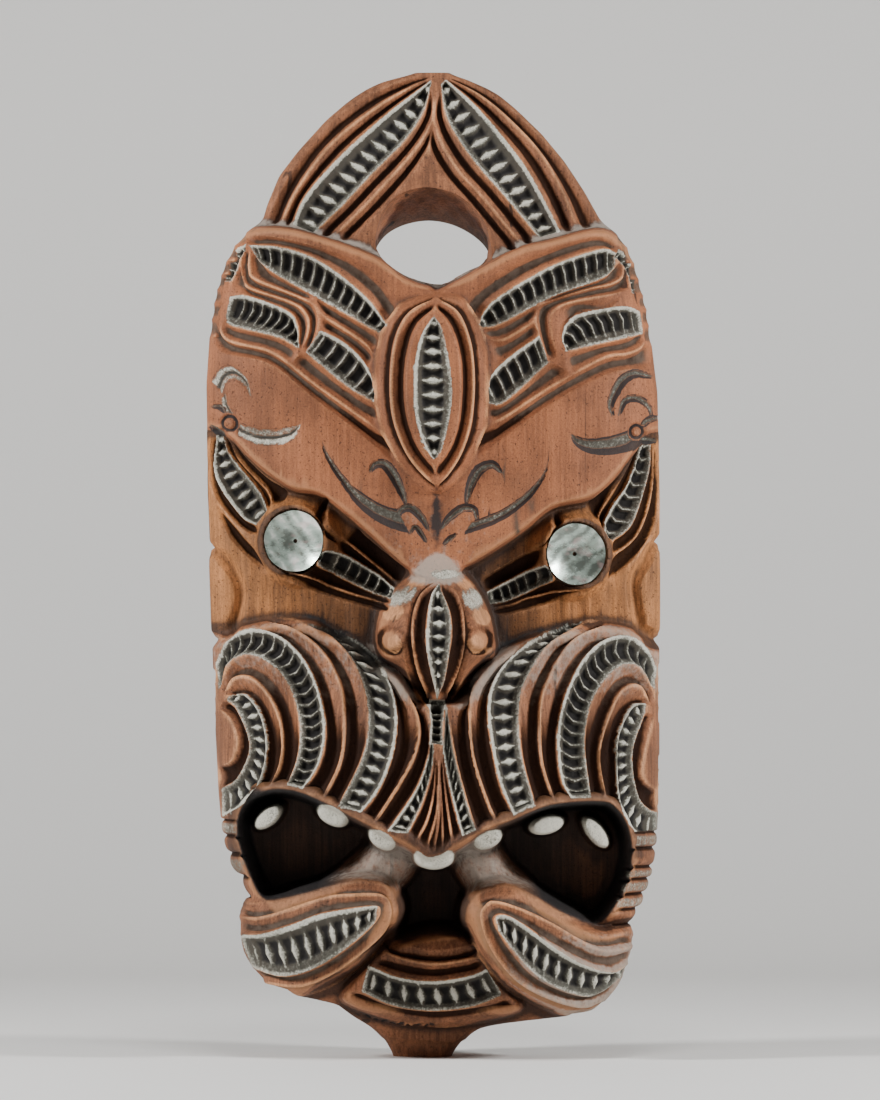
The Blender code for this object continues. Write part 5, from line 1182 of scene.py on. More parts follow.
def tones(canvas):
    """Where the wood is brow, cheek, dark, dusty, sooty, shaded or greyed, each from 0 to 1. Dark is the
    darkened inside of the mouth, darkened less on its right wall as painted light, with painted shade under
    the lip's edge and round the shells; shaded is painted shade beside the nose; the soot also holds painted
    shade in the crease along the lip's top.
    """
    x, z = canvas.across, canvas.up
    brow = within(canvas, "brow")
    muzzle = within(canvas, "muzzle")
    mouth = within(canvas, "mouth", WIDE_MARGIN)
    nose = within(canvas, "nose")
    arms = np.maximum(within(canvas, "arm_left"),
                      within(canvas, "arm_right"))
    cheek = smoothstep(1, -3, brow) * smoothstep(1, -3, muzzle) * smoothstep(2, -2, nose)
    cheek = cheek * smoothstep(395, 425, z) * smoothstep(700, 640, z)
    lozenge = within(canvas, "lozenge")
    stems = stem_domes(canvas)
    inside = smoothstep(-1, 2, mouth) * (1 - smoothstep(-2, 2, arms))
    dust = 0.62 * stems * smoothstep(0, 8, mouth) * (1 - smoothstep(-2, 2, arms))
    ledge = smoothstep(-13, -3, brow) * smoothstep(2, -1, brow) * (x * x < 200**2)
    dust = dust + (0.65 * (z > 700) + 0.25 * (z < 700)) * ledge
    cone = smoothstep(512, 496, z) * smoothstep(466, 488, z) * smoothstep(0, 12, nose)
    dust = dust + (0.80 + 0.20 * smoothstep(-10, 15, x)) * cone
    dust = dust + 0.62 * smoothstep(0, 3, arms) * smoothstep(20, 110, x) * smoothstep(150, 110, z)
    beside = smoothstep(-26, -4, nose) * smoothstep(1, -2, nose) * smoothstep(450, 400, z)
    dust = dust + 0.5 * beside * smoothstep(340, 372, z)
    dust = dust + (0.40 + 0.12 * (x > 0)) * smoothstep(0, 3, muzzle) * smoothstep(310, 400, z)
    dust = dust + 0.30 * smoothstep(0, 3, brow) * smoothstep(610, 540, z) * smoothstep(130, 40, np.abs(x))
    # Soot down the centre between the brows, and painted shade in the crease where the lip's top meets the
    # cheek.
    soot_and_crease_shade = np.exp(-(((x - 1) / 7) ** 2) - ((z - 538) / 34) ** 2)
    meeting = np.exp(-(((muzzle + 3) / 4) ** 2)) * smoothstep(165, 120, np.abs(x)) * (z > 395)
    soot_and_crease_shade = np.maximum(soot_and_crease_shade, 0.62 * meeting)
    rim = inside * smoothstep(15, 12, mouth) * smoothstep(60, 110, np.abs(x))
    # Painted shade of the lip's underside: a dark band just outside the mouth's edge.
    lip_underside_shade = smoothstep(-13, -10, mouth) * smoothstep(-0.4, -1.4, mouth) * smoothstep(-1, 2, muzzle)
    lip_underside_shade = lip_underside_shade * (z > 200) * (1 - smoothstep(-3, 0, arms))
    eye_gap = np.full(x.shape, 1e3)
    for eye_x, eye_z in EYES.values():
        eye_gap = np.minimum(eye_gap, np.hypot(x - eye_x, z - eye_z))
    # Painted light: the right wall inside the mouth is darkened less, where it catches the light.
    wall = smoothstep(120, 165, x) * smoothstep(252, 225, z)
    dark = np.maximum(inside * (1 - 0.75 * stems) * (1 - 0.45 * wall), 0.8 * lip_underside_shade)
    # Painted shade in the gap round each shell, over its seat and raised ring.
    dark = np.maximum(dark, 0.9 * smoothstep(36.5, 34.5, eye_gap))
    shaded = cheek * smoothstep(150, 60, np.abs(x))
    greyed = 0.75 * smoothstep(-1, 2, brow) * smoothstep(600, 660, z) * (1 - smoothstep(-2, 1, lozenge))
    greyed = greyed + 0.7 * smoothstep(0, 3, arms)
    greyed = greyed + 0.6 * smoothstep(0, 2, muzzle) * smoothstep(320, 380, z) + 0.25 * (z > 835)
    return {"brow": smoothstep(-1, 2, brow), "cheek": cheek, "dark": dark,
            "dust": np.clip(dust, 0, 1), "soot_and_crease_shade": soot_and_crease_shade, "rim": rim, "shaded": shaded,
            "greyed": np.clip(greyed, 0, 1)}


def paint_spots(carved):
    """White on the tooth faces and the nose, painted shade in the nostrils' rings, the chips and the rubbed
    wood.
    """
    flat = carved.layers["pigment"]
    mouth = within(flat, "mouth")
    for tooth in TEETH:
        spot = ellipse(flat, *tooth)
        worn = 0.80 + 0.15 * smoothstep(0.2, 0.9, spot)
        flat.lay(worn * smoothstep(1.12, 0.95, spot) * smoothstep(-1, 1, mouth))
    nose_panel = carved.layers["sunk"].field + carved.layers["groove"].field
    for patch in NOSE_WHITES:
        spot = smoothstep(1.3, 0.8, ellipse(flat, *patch)) * (nose_panel < 0.1)
        flat.lay(0.72 * spot)
    for knob_x, knob_z, boss, groove, outward in NOSTRILS:
        near = np.hypot(flat.across - knob_x, flat.up - knob_z)
        around = outward * (flat.across - knob_x) - 1.1 * (flat.up - knob_z)
        ring = smoothstep(groove + 1, groove - 1, near) * smoothstep(boss - 0.5, boss + 1.5, near)
        # Painted shade in the ring's groove, darker on its lower, outer side as a painted shadow.
        carved.layers["groove"].lay(ring * (0.45 + 0.55 * smoothstep(-6, 6, around)))
    for x, z, long, turn in CHIPS:
        chip = smoothstep(1.2, 0.7, ellipse(flat, x, z, long, 1.3, turn))
        carved.layers["relief"].field -= CHIP_DEPTH * chip
        carved.layers["ink"].lay(0.8 * chip)
    for patch in NOSE_BARE:
        carved.layers["bare"].lay(smoothstep(1.3, 0.8, ellipse(flat, *patch)))


def front_grid(sizes):
    """Places, leans and layer readings of a grid laid over the front and the sides."""
    depths, carved = relief_depths(), carve(sizes)
    paint_spots(carved)
    tone_canvas = Canvas(DEPTH_STEP)
    tone = tones(tone_canvas)
    relief = carved.layers["relief"]
    crests = (relief.field - softened(relief.field, round(CREST_REACH / CANVAS_STEP))) / CREST_HEIGHT
    edges = (depths.field - softened(depths.field, round(LEDGE_REACH / DEPTH_STEP))) / LEDGE_HEIGHT
    fine = np.linspace(0, LAYOUT_UNITS, 2000)
    narrowing = np.gradient(half_width(-1, fine) + half_width(1, fine), fine) / 2
    along = np.concatenate([[0], np.cumsum(np.hypot(1, narrowing)[1:] * np.diff(fine))])
    rows = int(along[-1] / sizes.grid_step)
    levels = np.interp(np.linspace(0, along[-1], rows), along, fine)
    columns = int(GRID_REACH / sizes.grid_step)
    layout = np.zeros((rows, 2 * columns + 1, 2))
    base = np.zeros((rows, 2 * columns + 1, 3))
    for row, level in enumerate(levels):
        for side in (-1, 1):
            arc, layout_x, true_x, share, depth = section(side, level)
            even = np.linspace(0, arc[-1], columns + 1)
            x = np.interp(even, arc, layout_x)
            raised = depths.read(side * x, np.full(x.shape, level)) / UNIT
            front_share = np.interp(even, arc, share)
            edge = side_depth(level) / UNIT
            plain = np.interp(even, arc, depth)
            y = np.where(x <= half_width(side, level) + 1e-6, edge + (raised - edge) * front_share, plain)
            place = columns + side * np.arange(columns + 1)
            layout[row, place] = np.column_stack([side * x, np.full(x.shape, level)])
            base[row, place] = np.column_stack([side * np.interp(even, arc, true_x), -y,
                                                np.full(x.shape, level)])
    base = set_eyes(base * UNIT)
    passes = round(LEAN_PASSES * (LEAN_STEP / sizes.grid_step) ** 2)
    soft = np.stack([blurred(base[..., axis], passes) for axis in range(3)], axis=-1)
    lean = np.cross(np.gradient(soft, axis=1), np.gradient(soft, axis=0))
    lean = lean / np.linalg.norm(lean, axis=-1, keepdims=True)
    keep = np.ones(base.shape[:2])
    keep[:, 0] = keep[:, -1] = 0
    keep[0] = keep[-1] = 0
    where = layout[..., 0].ravel(), layout[..., 1].ravel()
    reading = {"relief": relief.read(*where) * keep.ravel()}
    for name in carved.NAMES[1:]:
        reading[name] = carved.layers[name].read(*where)
    for name, field in (("crest", crests), ("ledge", edges)):
        canvas = relief if name == "crest" else depths
        canvas.field = field
        reading[name] = np.clip(canvas.read(*where), -1.5, 1.5)
    for name, field in tone.items():
        tone_canvas.field = field
        reading[name] = tone_canvas.read(*where)
    smooth_wood = smoothstep(0.0006, 0.0, np.abs(reading["relief"])) * (1 - reading["pigment"])
    reading["tooled"] = smooth_wood * (0.12 + 0.88 * reading["cheek"]) * keep.ravel()
    return base, lean, reading


def grid_mesh(base, lean, reading):
    """The grid as a closed mesh, flat at the back and the ends, with its readings as attributes."""
    rows, columns = base.shape[:2]
    shape = bmesh.new()
    bmesh.ops.create_grid(shape, x_segments=columns - 1, y_segments=rows - 1, size=1)
    mesh = mesh_of("mask", shape)
    mesh.vertices.foreach_set("co", base.reshape(-1).astype(np.float32))
    shape = bmesh.new()
    shape.from_mesh(mesh)
    shape.verts.ensure_lookup_table()
    corner = [shape.verts[i] for i in (0, columns - 1, rows * columns - 1, (rows - 1) * columns)]
    foot = shape.edges.new((corner[0], corner[1]))
    tip = shape.edges.new((corner[3], corner[2]))
    for row, edge in ((0, foot), (rows - 1, tip)):
        line = [shape.verts[row * columns + k] for k in range(columns)]
        rim = [shape.edges.get(pair) for pair in zip(line, line[1:])] + [edge]
        bmesh.ops.triangle_fill(shape, use_beauty=True, edges=rim)
    sides = [shape.verts[row * columns + k] for k in (0, columns - 1) for row in range(rows)]
    rim = [shape.edges.get(pair) for pair in zip(sides, sides[1:])]
    rim = [edge for edge in rim if edge] + [foot, tip]
    bmesh.ops.triangle_fill(shape, use_beauty=True, edges=rim)
    bmesh.ops.recalc_face_normals(shape, faces=shape.faces)
    shape.to_mesh(mesh)
    shape.free()
    for name, values in reading.items():
        layer = mesh.attributes.new(name, "FLOAT", "POINT")
        layer.data.foreach_set("value", values.astype(np.float32))
    layer = mesh.attributes.new("lean", "FLOAT_VECTOR", "POINT")
    layer.data.foreach_set("vector", lean.reshape(-1).astype(np.float32))
    return mesh


def carving_tree(material):
    """Geometry nodes that push the surface along its lean by the relief and the tool marks."""
    tree = bpy.data.node_groups.new("carve_surface", "GeometryNodeTree")
    sockets = tree.interface
    sockets.new_socket("Mask", in_out="INPUT", socket_type="NodeSocketGeometry")
    depth = sockets.new_socket("Carving", in_out="INPUT", socket_type="NodeSocketFloat")
    depth.default_value = 1
    mark = sockets.new_socket("Tool mark depth", in_out="INPUT", socket_type="NodeSocketFloat")
    width = sockets.new_socket("Tool mark width", in_out="INPUT", socket_type="NodeSocketFloat")
    height = sockets.new_socket("Tool mark length", in_out="INPUT", socket_type="NodeSocketFloat")
    sockets.new_socket("Mask", in_out="OUTPUT", socket_type="NodeSocketGeometry")
    wires = Wiring(tree)
    given = wires.add("NodeGroupInput").outputs

    def named(name, kind="FLOAT"):
        return wires.add("GeometryNodeInputNamedAttribute", {"Name": name}, data_type=kind).outputs[0]

    position = wires.add("GeometryNodeInputPosition").outputs[0]
    place = wires.add("ShaderNodeSeparateXYZ", {0: position}).outputs
    across = wires.maths("DIVIDE", place[0], given[width.name])
    up = wires.maths("DIVIDE", place[2], given[height.name])
    back = wires.maths("DIVIDE", place[1], given[width.name])
    spread = wires.add("ShaderNodeCombineXYZ", {0: across, 1: back, 2: up}).outputs[0]
    cells = wires.add("ShaderNodeTexVoronoi", {"Vector": spread, "Scale": 1.0, "Randomness": 0.9},
                      feature="F1").outputs["Distance"]
    scoop = wires.swing(cells, 0.5, given[mark.name])
    scoop = wires.times(scoop, named("tooled"))
    rise = wires.times(named("relief"), given[depth.name])
    rise = wires.plus(rise, scoop)
    push = wires.add("ShaderNodeVectorMath", {0: named("lean", "FLOAT_VECTOR"), "Scale": rise},
                     operation="SCALE").outputs[0]
    moved = wires.add("GeometryNodeSetPosition", {"Geometry": given[0], "Offset": push}).outputs[0]
    real = wires.add("GeometryNodeRealizeInstances", {0: moved}).outputs[0]
    done = wires.add("GeometryNodeSetMaterial", {"Geometry": real, "Material": material}).outputs[0]
    wires.add("NodeGroupOutput", {0: done})
    return tree, (depth, mark, width, height)


def applied(item):
    """The object's mesh with its modifiers worked in."""
    bpy.context.view_layer.update()
    evaluated = item.evaluated_get(bpy.context.evaluated_depsgraph_get())
    mesh = bpy.data.meshes.new_from_object(evaluated)
    item.modifiers.clear()
    item.data = mesh
    return mesh


def new_object(name, data):
    item = bpy.data.objects.new(name, data)
    bpy.context.scene.collection.objects.link(item)
    return item


def mesh_of(name, shape):
    """A new mesh from a bmesh, which is freed."""
    mesh = bpy.data.meshes.new(name)
    shape.to_mesh(mesh)
    shape.free()
    return mesh


def flat_mesh(name, points, faces):
    mesh = bpy.data.meshes.new(name)
    mesh.from_pydata(points, [], faces)
    return mesh


def hole_cutter():
    """The crown's hole: it narrows from the arch at the front to the opening at the back."""
    front, back = [resampled(np.vstack([line, line[:1]]), HOLE_STEPS + 1)[:-1] for line in
                   (spline(HOLE_OUTLINES[end], 8, closed=True) for end in ("front", "back"))]
    shares = np.linspace(*HOLE_REACH, HOLE_RINGS)
    points = []
    for share in shares:
        outline = back + share * (front - back)
        tool = HOLE_FACET * np.sin(np.arange(HOLE_STEPS) * 0.55 + 3.1 * np.floor(share * 3.2))
        centre = outline.mean(axis=0)
        out = (outline - centre) / np.linalg.norm(outline - centre, axis=1, keepdims=True)
        worked = tool * smoothstep(0.05, 0.25, share) * smoothstep(1.0, 0.8, share)
        outline = outline + out * worked[:, None]
        depth = np.full(HOLE_STEPS, -share * CROWN_DEPTH)
        points.append(np.column_stack([outline[:, 0] * UNIT, depth, outline[:, 1] * UNIT]))
    shape = bmesh.new()
    rings = [[shape.verts.new(place) for place in ring] for ring in points]
    for near, far in zip(rings, rings[1:]):
        for k in range(HOLE_STEPS):
            shape.faces.new((near[k - 1], near[k], far[k], far[k - 1]))
    for ring in (rings[0], rings[-1]):
        shape.faces.new(ring)
    bmesh.ops.triangulate(shape, faces=shape.faces)
    bmesh.ops.recalc_face_normals(shape, faces=shape.faces)
    return mesh_of("crown_hole", shape)


def build_mask(sizes, colours):
    material = wood_material(colours)
    base, lean, reading = front_grid(sizes)
    mask = new_object("carved_mask", grid_mesh(base, lean, reading))
    tree, (depth, mark, width, height) = carving_tree(material)
    step = mask.modifiers.new("carve", "NODES")
    step.node_group = tree
    for socket, value in ((depth, sizes.carving), (mark, sizes.tool_mark_depth),
                          (width, sizes.tool_mark_width), (height, sizes.tool_mark_length)):
        step[socket.identifier] = value
    applied(mask)
    thin = mask.modifiers.new("fewer_faces", "DECIMATE")
    thin.ratio = min(1, sizes.most_faces / (2 * base.shape[0] * base.shape[1]))
    applied(mask)
    cutter = new_object("crown_hole", hole_cutter())
    hole = mask.modifiers.new("hole", "BOOLEAN")
    hole.operation = "DIFFERENCE"
    hole.object = cutter
    hole.solver = HOLE_SOLVER
    mesh = applied(mask)
    bpy.data.objects.remove(cutter, do_unlink=True)
    mesh.transform(Matrix.Translation((0, 0, FOOT_LEVEL)))
    while len(mesh.materials) > 1:
        mesh.materials.pop(index=1)
    mesh.shade_smooth()
    mesh.set_sharp_from_angle(angle=WOOD_CREASE)
    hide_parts("mask_body")
    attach(mask, "root")
    return mask


def effect_group(name, inputs, outputs):
    """An empty shader group: (name, default) inputs, and named values out."""
    tree = bpy.data.node_groups.new(name, "ShaderNodeTree")
    for label, default in inputs:
        socket = tree.interface.new_socket(label, in_out="INPUT", socket_type="NodeSocketFloat")
        socket.default_value = default
    for label in outputs:
        tree.interface.new_socket(label, in_out="OUTPUT", socket_type="NodeSocketFloat")
    wires = Wiring(tree)
    return tree, wires, wires.add("NodeGroupInput").outputs


def grain_group():
    """Fibres that run up the log, and broad patches of tone."""
    tree, wires, given = effect_group("log_grain", (("Fineness", 1.0),),
                                     ("Fibre", "Patch", "Speck", "Crack"))
    place = wires.object_place()
    long = wires.stretched(place, FIBRE_SCALE)
    bent = wires.stretched(place, STREAK_SCALE)
    fine = wires.noise(long, given[0], 4.0, 0.6)
    coarse = wires.noise(bent, given[0], 2.0, 0.5)
    fibre = wires.plus(wires.times(fine, 0.6), wires.times(coarse, 0.4))
    patch = wires.noise(place, PATCH_SCALE, 4.0)
    speck = wires.noise(place, SPECK_SCALE, 2.0, 0.7)
    split = wires.stretched(place, CRACK_SCALE)
    crack = wires.between(wires.noise(split, given[0], 1.0, 0.4), 0.285, 0.26)
    wires.add("NodeGroupOutput", {0: fibre, 1: patch, 2: speck, 3: crack})
    return tree


def film_group():
    """A broken film such as dust or chalk: how much of it lies at each place."""
    tree, wires, given = effect_group("broken_film", (("Amount", 0.5), ("Breaks", 0.5), ("Scale", 300.0)),
                                      ("Cover",))
    place = wires.object_place()
    breaks = wires.noise(place, given[2], 5.0, 0.65)
    low = wires.swing(breaks, 0.5, given[1])
    level = wires.plus(given[0], low)
    wires.add("NodeGroupOutput", {0: wires.between(level, 0.30, 0.70)})
    return tree


def placed(wires, tree, feeds):
    item = wires.add("ShaderNodeGroup", node_tree=tree)
    for name, value in feeds.items():
        wires.feed(item.inputs[name], value)
    return item.outputs


def new_material(name):
    material = bpy.data.materials.new(name)
    material.use_nodes = True
    return material, Wiring(material.node_tree), material.node_tree.nodes["Principled BSDF"]


def shared_group(name, make):
    return bpy.data.node_groups.get(name) or make()


def wood_material(colours):
    """Oiled and worn wood: painted shade in the brown hollows and under ledges, tan crests that are worn and
    given a painted highlight, chalk, dirt and black in the cuts.
    """
    material, wires, shader = new_material("carved_wood_finish")
    grain = placed(wires, shared_group("log_grain", grain_group), {"Fineness": 1.0})
    film = shared_group("broken_film", film_group)
    fibre, patch, speck = grain["Fibre"], grain["Patch"], grain["Speck"]

    def film_of(amount, breaks, scale):
        return placed(wires, film, {"Amount": amount, "Breaks": breaks, "Scale": scale})["Cover"]

    def laid(share, strength, below, above):
        return wires.mix(wires.times(share, strength), below, above)

    def grained(share, colour):
        return wires.mix(share, colour, tone, "MULTIPLY")

    wood = wires.mix(wires.reading("brow"), colours.carved, colours.brow)
    wood = wires.mix(wires.reading("cheek"), wood, colours.cheek)
    calm = wires.between(wires.reading("brow"), 0.0, 1.0, 0.0, 0.30)
    shade = wires.between(fibre, 0.36, 0.64, wires.plus(calm, 0.56), 1.22)
    shade = wires.times(shade, wires.between(patch, 0.32, 0.68, 0.70, 1.22))
    shade = wires.times(shade, wires.between(speck, 0.35, 0.6, 0.82, 1.08))
    shade = wires.times(shade, wires.between(grain["Crack"], 0.0, 1.0, 1.0, 0.25))
    tone = wires.add("ShaderNodeCombineColor", {0: shade, 1: shade, 2: shade}).outputs[0]
    wood = grained(1.0, wood)
    wood = laid(wires.reading("shaded"), 0.7, wood, colours.hollow)
    crest, ledge, groove = wires.reading("crest"), wires.reading("ledge"), wires.reading("groove")
    place = wires.object_place()
    pores = wires.between(wires.noise(place, PORE_SCALE, 2.0, 0.5), 0.36, 0.30)
    wood = laid(pores, 0.6, wood, colours.hollow)
    # Painted shade in the hollows, where the carving lies below its surroundings and along the groove layer;
    # near black, greyed where dust has settled.
    hollow = wires.maths("MAXIMUM", wires.between(crest, -0.15, -0.9), wires.between(groove, 0.15, 0.85))
    settled = film_of(wires.times(wires.reading("greyed"), 0.80), 0.75, HOLLOW_DUST_SCALE)
    bottom = laid(settled, 0.9, colours.hollow, colours.hollow_dust)
    wood = laid(hollow, 0.95, wood, bottom)
    # Painted shadow at the foot of each step in the larger forms, under the ledges.
    wood = laid(wires.between(ledge, -0.2, -0.95), 0.8, wood, colours.hollow)
    # Crests: worn wood with a painted highlight; the rims of the larger forms get a fainter painted
    # highlight in the same colour.
    rough_crest = wires.plus(crest, wires.swing(speck, 0.5, 0.35))
    worn = wires.times(wires.between(rough_crest, 0.30, 0.85), wires.between(groove, 0.8, 0.3))
    wood = laid(worn, 0.85, wood, grained(0.75, colours.crest))
    rim = wires.between(wires.plus(ledge, wires.times(fibre, 0.4)), 0.85, 1.35)
    wood = laid(rim, 0.35, wood, colours.crest)
    rubbed = film_of(wires.reading("bare"), 0.9, RUBBED_SCALE)
    wood = laid(rubbed, 0.75, wood, grained(0.8, colours.bare))
    # Dark: the inside of the mouth, lighter on its lit right wall as painted light, and painted shade under
    # the lip's edge and round the shells.
    wood = laid(wires.reading("dark"), 0.9, wood, grained(0.9, colours.mouth))
    lip = wires.mix(wires.between(speck, 0.5, 0.75), colours.black, colours.charcoal)
    wood = laid(wires.reading("rim"), 0.95, wood, lip)
    loose = wires.times(wires.reading("dust"), wires.between(groove, 0.7, 0.1, 0.35, 1.0))
    wood = laid(film_of(loose, 0.8, DUST_SCALE), 0.70, wood, colours.dust)
    sunk = wires.reading("sunk")
    wood = laid(wires.between(sunk, 0.0, 0.6), 0.96, wood, colours.floor)
    wood = laid(wires.between(sunk, 0.72, 1.0), 0.85, wood, colours.black)
    pigment = wires.reading("pigment")
    chalk = film_of(pigment, 1.05, CHALK_SCALE)
    bright = wires.plus(wires.times(speck, 0.6), wires.times(patch, 0.4))
    bright = wires.plus(bright, wires.swing(pigment, 0.6, 0.4))
    chalk_tone = wires.mix(wires.between(bright, 0.38, 0.66), colours.old_pigment, colours.pigment)
    wood = laid(chalk, 0.92, wood, chalk_tone)
    # Black ink and soot, and the painted shade of the crease along the lip's top in the same black.
    black = wires.maths("MAXIMUM", film_of(wires.reading("ink"), 0.35, INK_SCALE),
                        film_of(wires.reading("soot_and_crease_shade"), 0.8, SOOT_SCALE))
    wood = laid(black, 0.93, wood, colours.black)
    depth = wires.add("ShaderNodeSeparateXYZ", {0: place}).outputs[1]
    behind = wires.between(depth, -0.0016, -0.0004)
    adzed = wires.stretched(place, ADZE_SCALE)
    scoops = wires.noise(adzed, 1.0, 1.0)
    wood = wires.mix(behind, wood, grained(1.0, colours.hewn))
    wires.feed(shader.inputs["Base Color"], wood)
    gloss = wires.minus(0.70, wires.times(worn, 0.14))
    gloss = wires.plus(gloss, wires.times(wires.maths("MAXIMUM", chalk, sunk), 0.2))
    wires.feed(shader.inputs["Roughness"], gloss)
    wires.feed(shader.inputs["Specular IOR Level"], wires.between(hollow, 0.0, 0.8, 0.35, 0.08))
    height = wires.plus(wires.times(fibre, 0.65), wires.times(speck, 0.35))
    height = wires.minus(height, wires.times(pores, 0.5))
    height = wires.plus(height, wires.times(wires.times(scoops, behind), 2.0))
    bump = wires.add("ShaderNodeBump", {"Strength": 0.85, "Distance": 0.0010, "Height": height})
    wires.feed(shader.inputs["Normal"], bump.outputs[0])
    return material


def nacre_material(name, colours, turn):
    """Polished shell: silver and green bands that bend round the disc."""
    material, wires, shader = new_material(name)
    place = wires.object_place()
    turned_place = wires.stretched(place, NACRE_STRETCH, turn)
    cloud = wires.noise(turned_place, NACRE_CLOUD_SCALE, 5.0, 0.65)
    bands = wires.add("ShaderNodeTexWave", {
        "Vector": turned_place, "Scale": NACRE_BAND_SCALE, "Distortion": 6.0, "Detail": 3.0,
        "Detail Scale": 1.6}).outputs["Fac"]
    tone = wires.plus(wires.times(cloud, 0.88), wires.times(bands, 0.12))
    shell = wires.mix(wires.between(tone, 0.36, 0.52), colours.shell_dark, colours.shell_green)
    shell = wires.mix(wires.between(tone, 0.50, 0.68), shell, colours.shell_silver)
    pink = wires.noise(turned_place, NACRE_PINK_SCALE, 2.0)
    shell = wires.mix(wires.times(wires.between(pink, 0.55, 0.7), 0.35), shell, PINK_NACRE)
    film = shared_group("broken_film", film_group)
    dirt = placed(wires, film, {"Amount": 0.34, "Breaks": 0.9, "Scale": NACRE_DIRT_SCALE})["Cover"]
    shell = wires.mix(wires.times(dirt, 0.6), shell, NACRE_DIRT)
    wires.feed(shader.inputs["Base Color"], shell)
    wires.feed(shader.inputs["Roughness"], wires.between(cloud, 0.3, 0.7, 0.20, 0.38))
    shader.inputs["Metallic"].default_value = 0.5
    shader.inputs["Coat Weight"].default_value = 0.3
    bump = wires.add("ShaderNodeBump", {"Strength": 0.35, "Distance": 0.0005, "Height": cloud})
    wires.feed(shader.inputs["Normal"], bump.outputs[0])
    return material


def shell_mesh(side, seed):
    """A dished disc with a small hole in the middle and a rim that isn't quite round."""
    chance = np.random.default_rng(seed)
    turns = np.linspace(0, 2 * math.pi, SHELL_STEPS, endpoint=False)
    waves = sum(chance.uniform(0.2, 1) * np.cos(k * turns + chance.uniform(0, 6.3)) for k in (2, 3, 5, 9))
    rim = SHELL_RADIUS - RIM_WAVE * (waves - waves.min()) / (waves.max() - waves.min())
    shares = np.linspace(0, 1, SHELL_RINGS + 1)
    face = []
    for share in shares:
        radius = SHELL_HOLE_RADIUS + (rim - SHELL_HOLE_RADIUS) * share
        face.append((radius, -SHELL_DISH * (1 - (radius / SHELL_RADIUS) ** 2)))
    back = [(radius, height - SHELL_THICKNESS) for radius, height in face][::-1]
    edge = 0.5 * SHELL_THICKNESS
    rounded = [(rim + SHELL_EDGE_BULGE, face[-1][1] - edge)]
    centre, facing = eye_plane(side)
    place = Matrix.Translation(centre + Vector((0, 0, FOOT_LEVEL))) @ (
        facing.to_track_quat("Z", "Y").to_matrix().to_4x4())
    rings = face + rounded + back
    points = [place @ Vector((r * math.cos(t), r * math.sin(t), h))
              for radius, height in rings
              for r, h, t in zip(radius, np.broadcast_to(height, radius.shape), turns)]
    faces = []
    for k in range(len(rings)):
        after = (k + 1) % len(rings)
        for step in range(SHELL_STEPS):
            following = (step + 1) % SHELL_STEPS
            faces.append((k * SHELL_STEPS + step, k * SHELL_STEPS + following,
                          after * SHELL_STEPS + following, after * SHELL_STEPS + step))
    mesh = flat_mesh(f"shell_{side}", points, faces)
    shape = bmesh.new()
    shape.from_mesh(mesh)
    bmesh.ops.recalc_face_normals(shape, faces=shape.faces)
    shape.to_mesh(mesh)
    shape.free()
    mesh.shade_smooth()
    mesh.set_sharp_from_angle(angle=SHELL_CREASE)
    return mesh


def build_shells(colours):
    for seed, side in enumerate(EYES):
        shell = new_object(f"nacre_disc_{side}", shell_mesh(side, seed + SHELL_SEED))
        shell.data.materials.append(nacre_material(f"nacre_{side}_finish", colours, 0.5 - 1.2 * seed))
        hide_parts(f"eye_shell_{side}")
        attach(shell, "root")


def plain_finish(name, colour, see_through_back=False):
    material, wires, shader = new_material(name)
    shader.inputs["Base Color"].default_value = (*colour, 1)
    shader.inputs["Roughness"].default_value = 0.9
    if see_through_back:
        clear = wires.add("ShaderNodeBsdfTransparent").outputs[0]
        behind = wires.add("ShaderNodeNewGeometry").outputs["Backfacing"]
        mixed = wires.add("ShaderNodeMixShader", {0: behind, 1: shader.outputs[0], 2: clear}).outputs[0]
        wires.feed(material.node_tree.nodes["Material Output"].inputs[0], mixed)
    return material


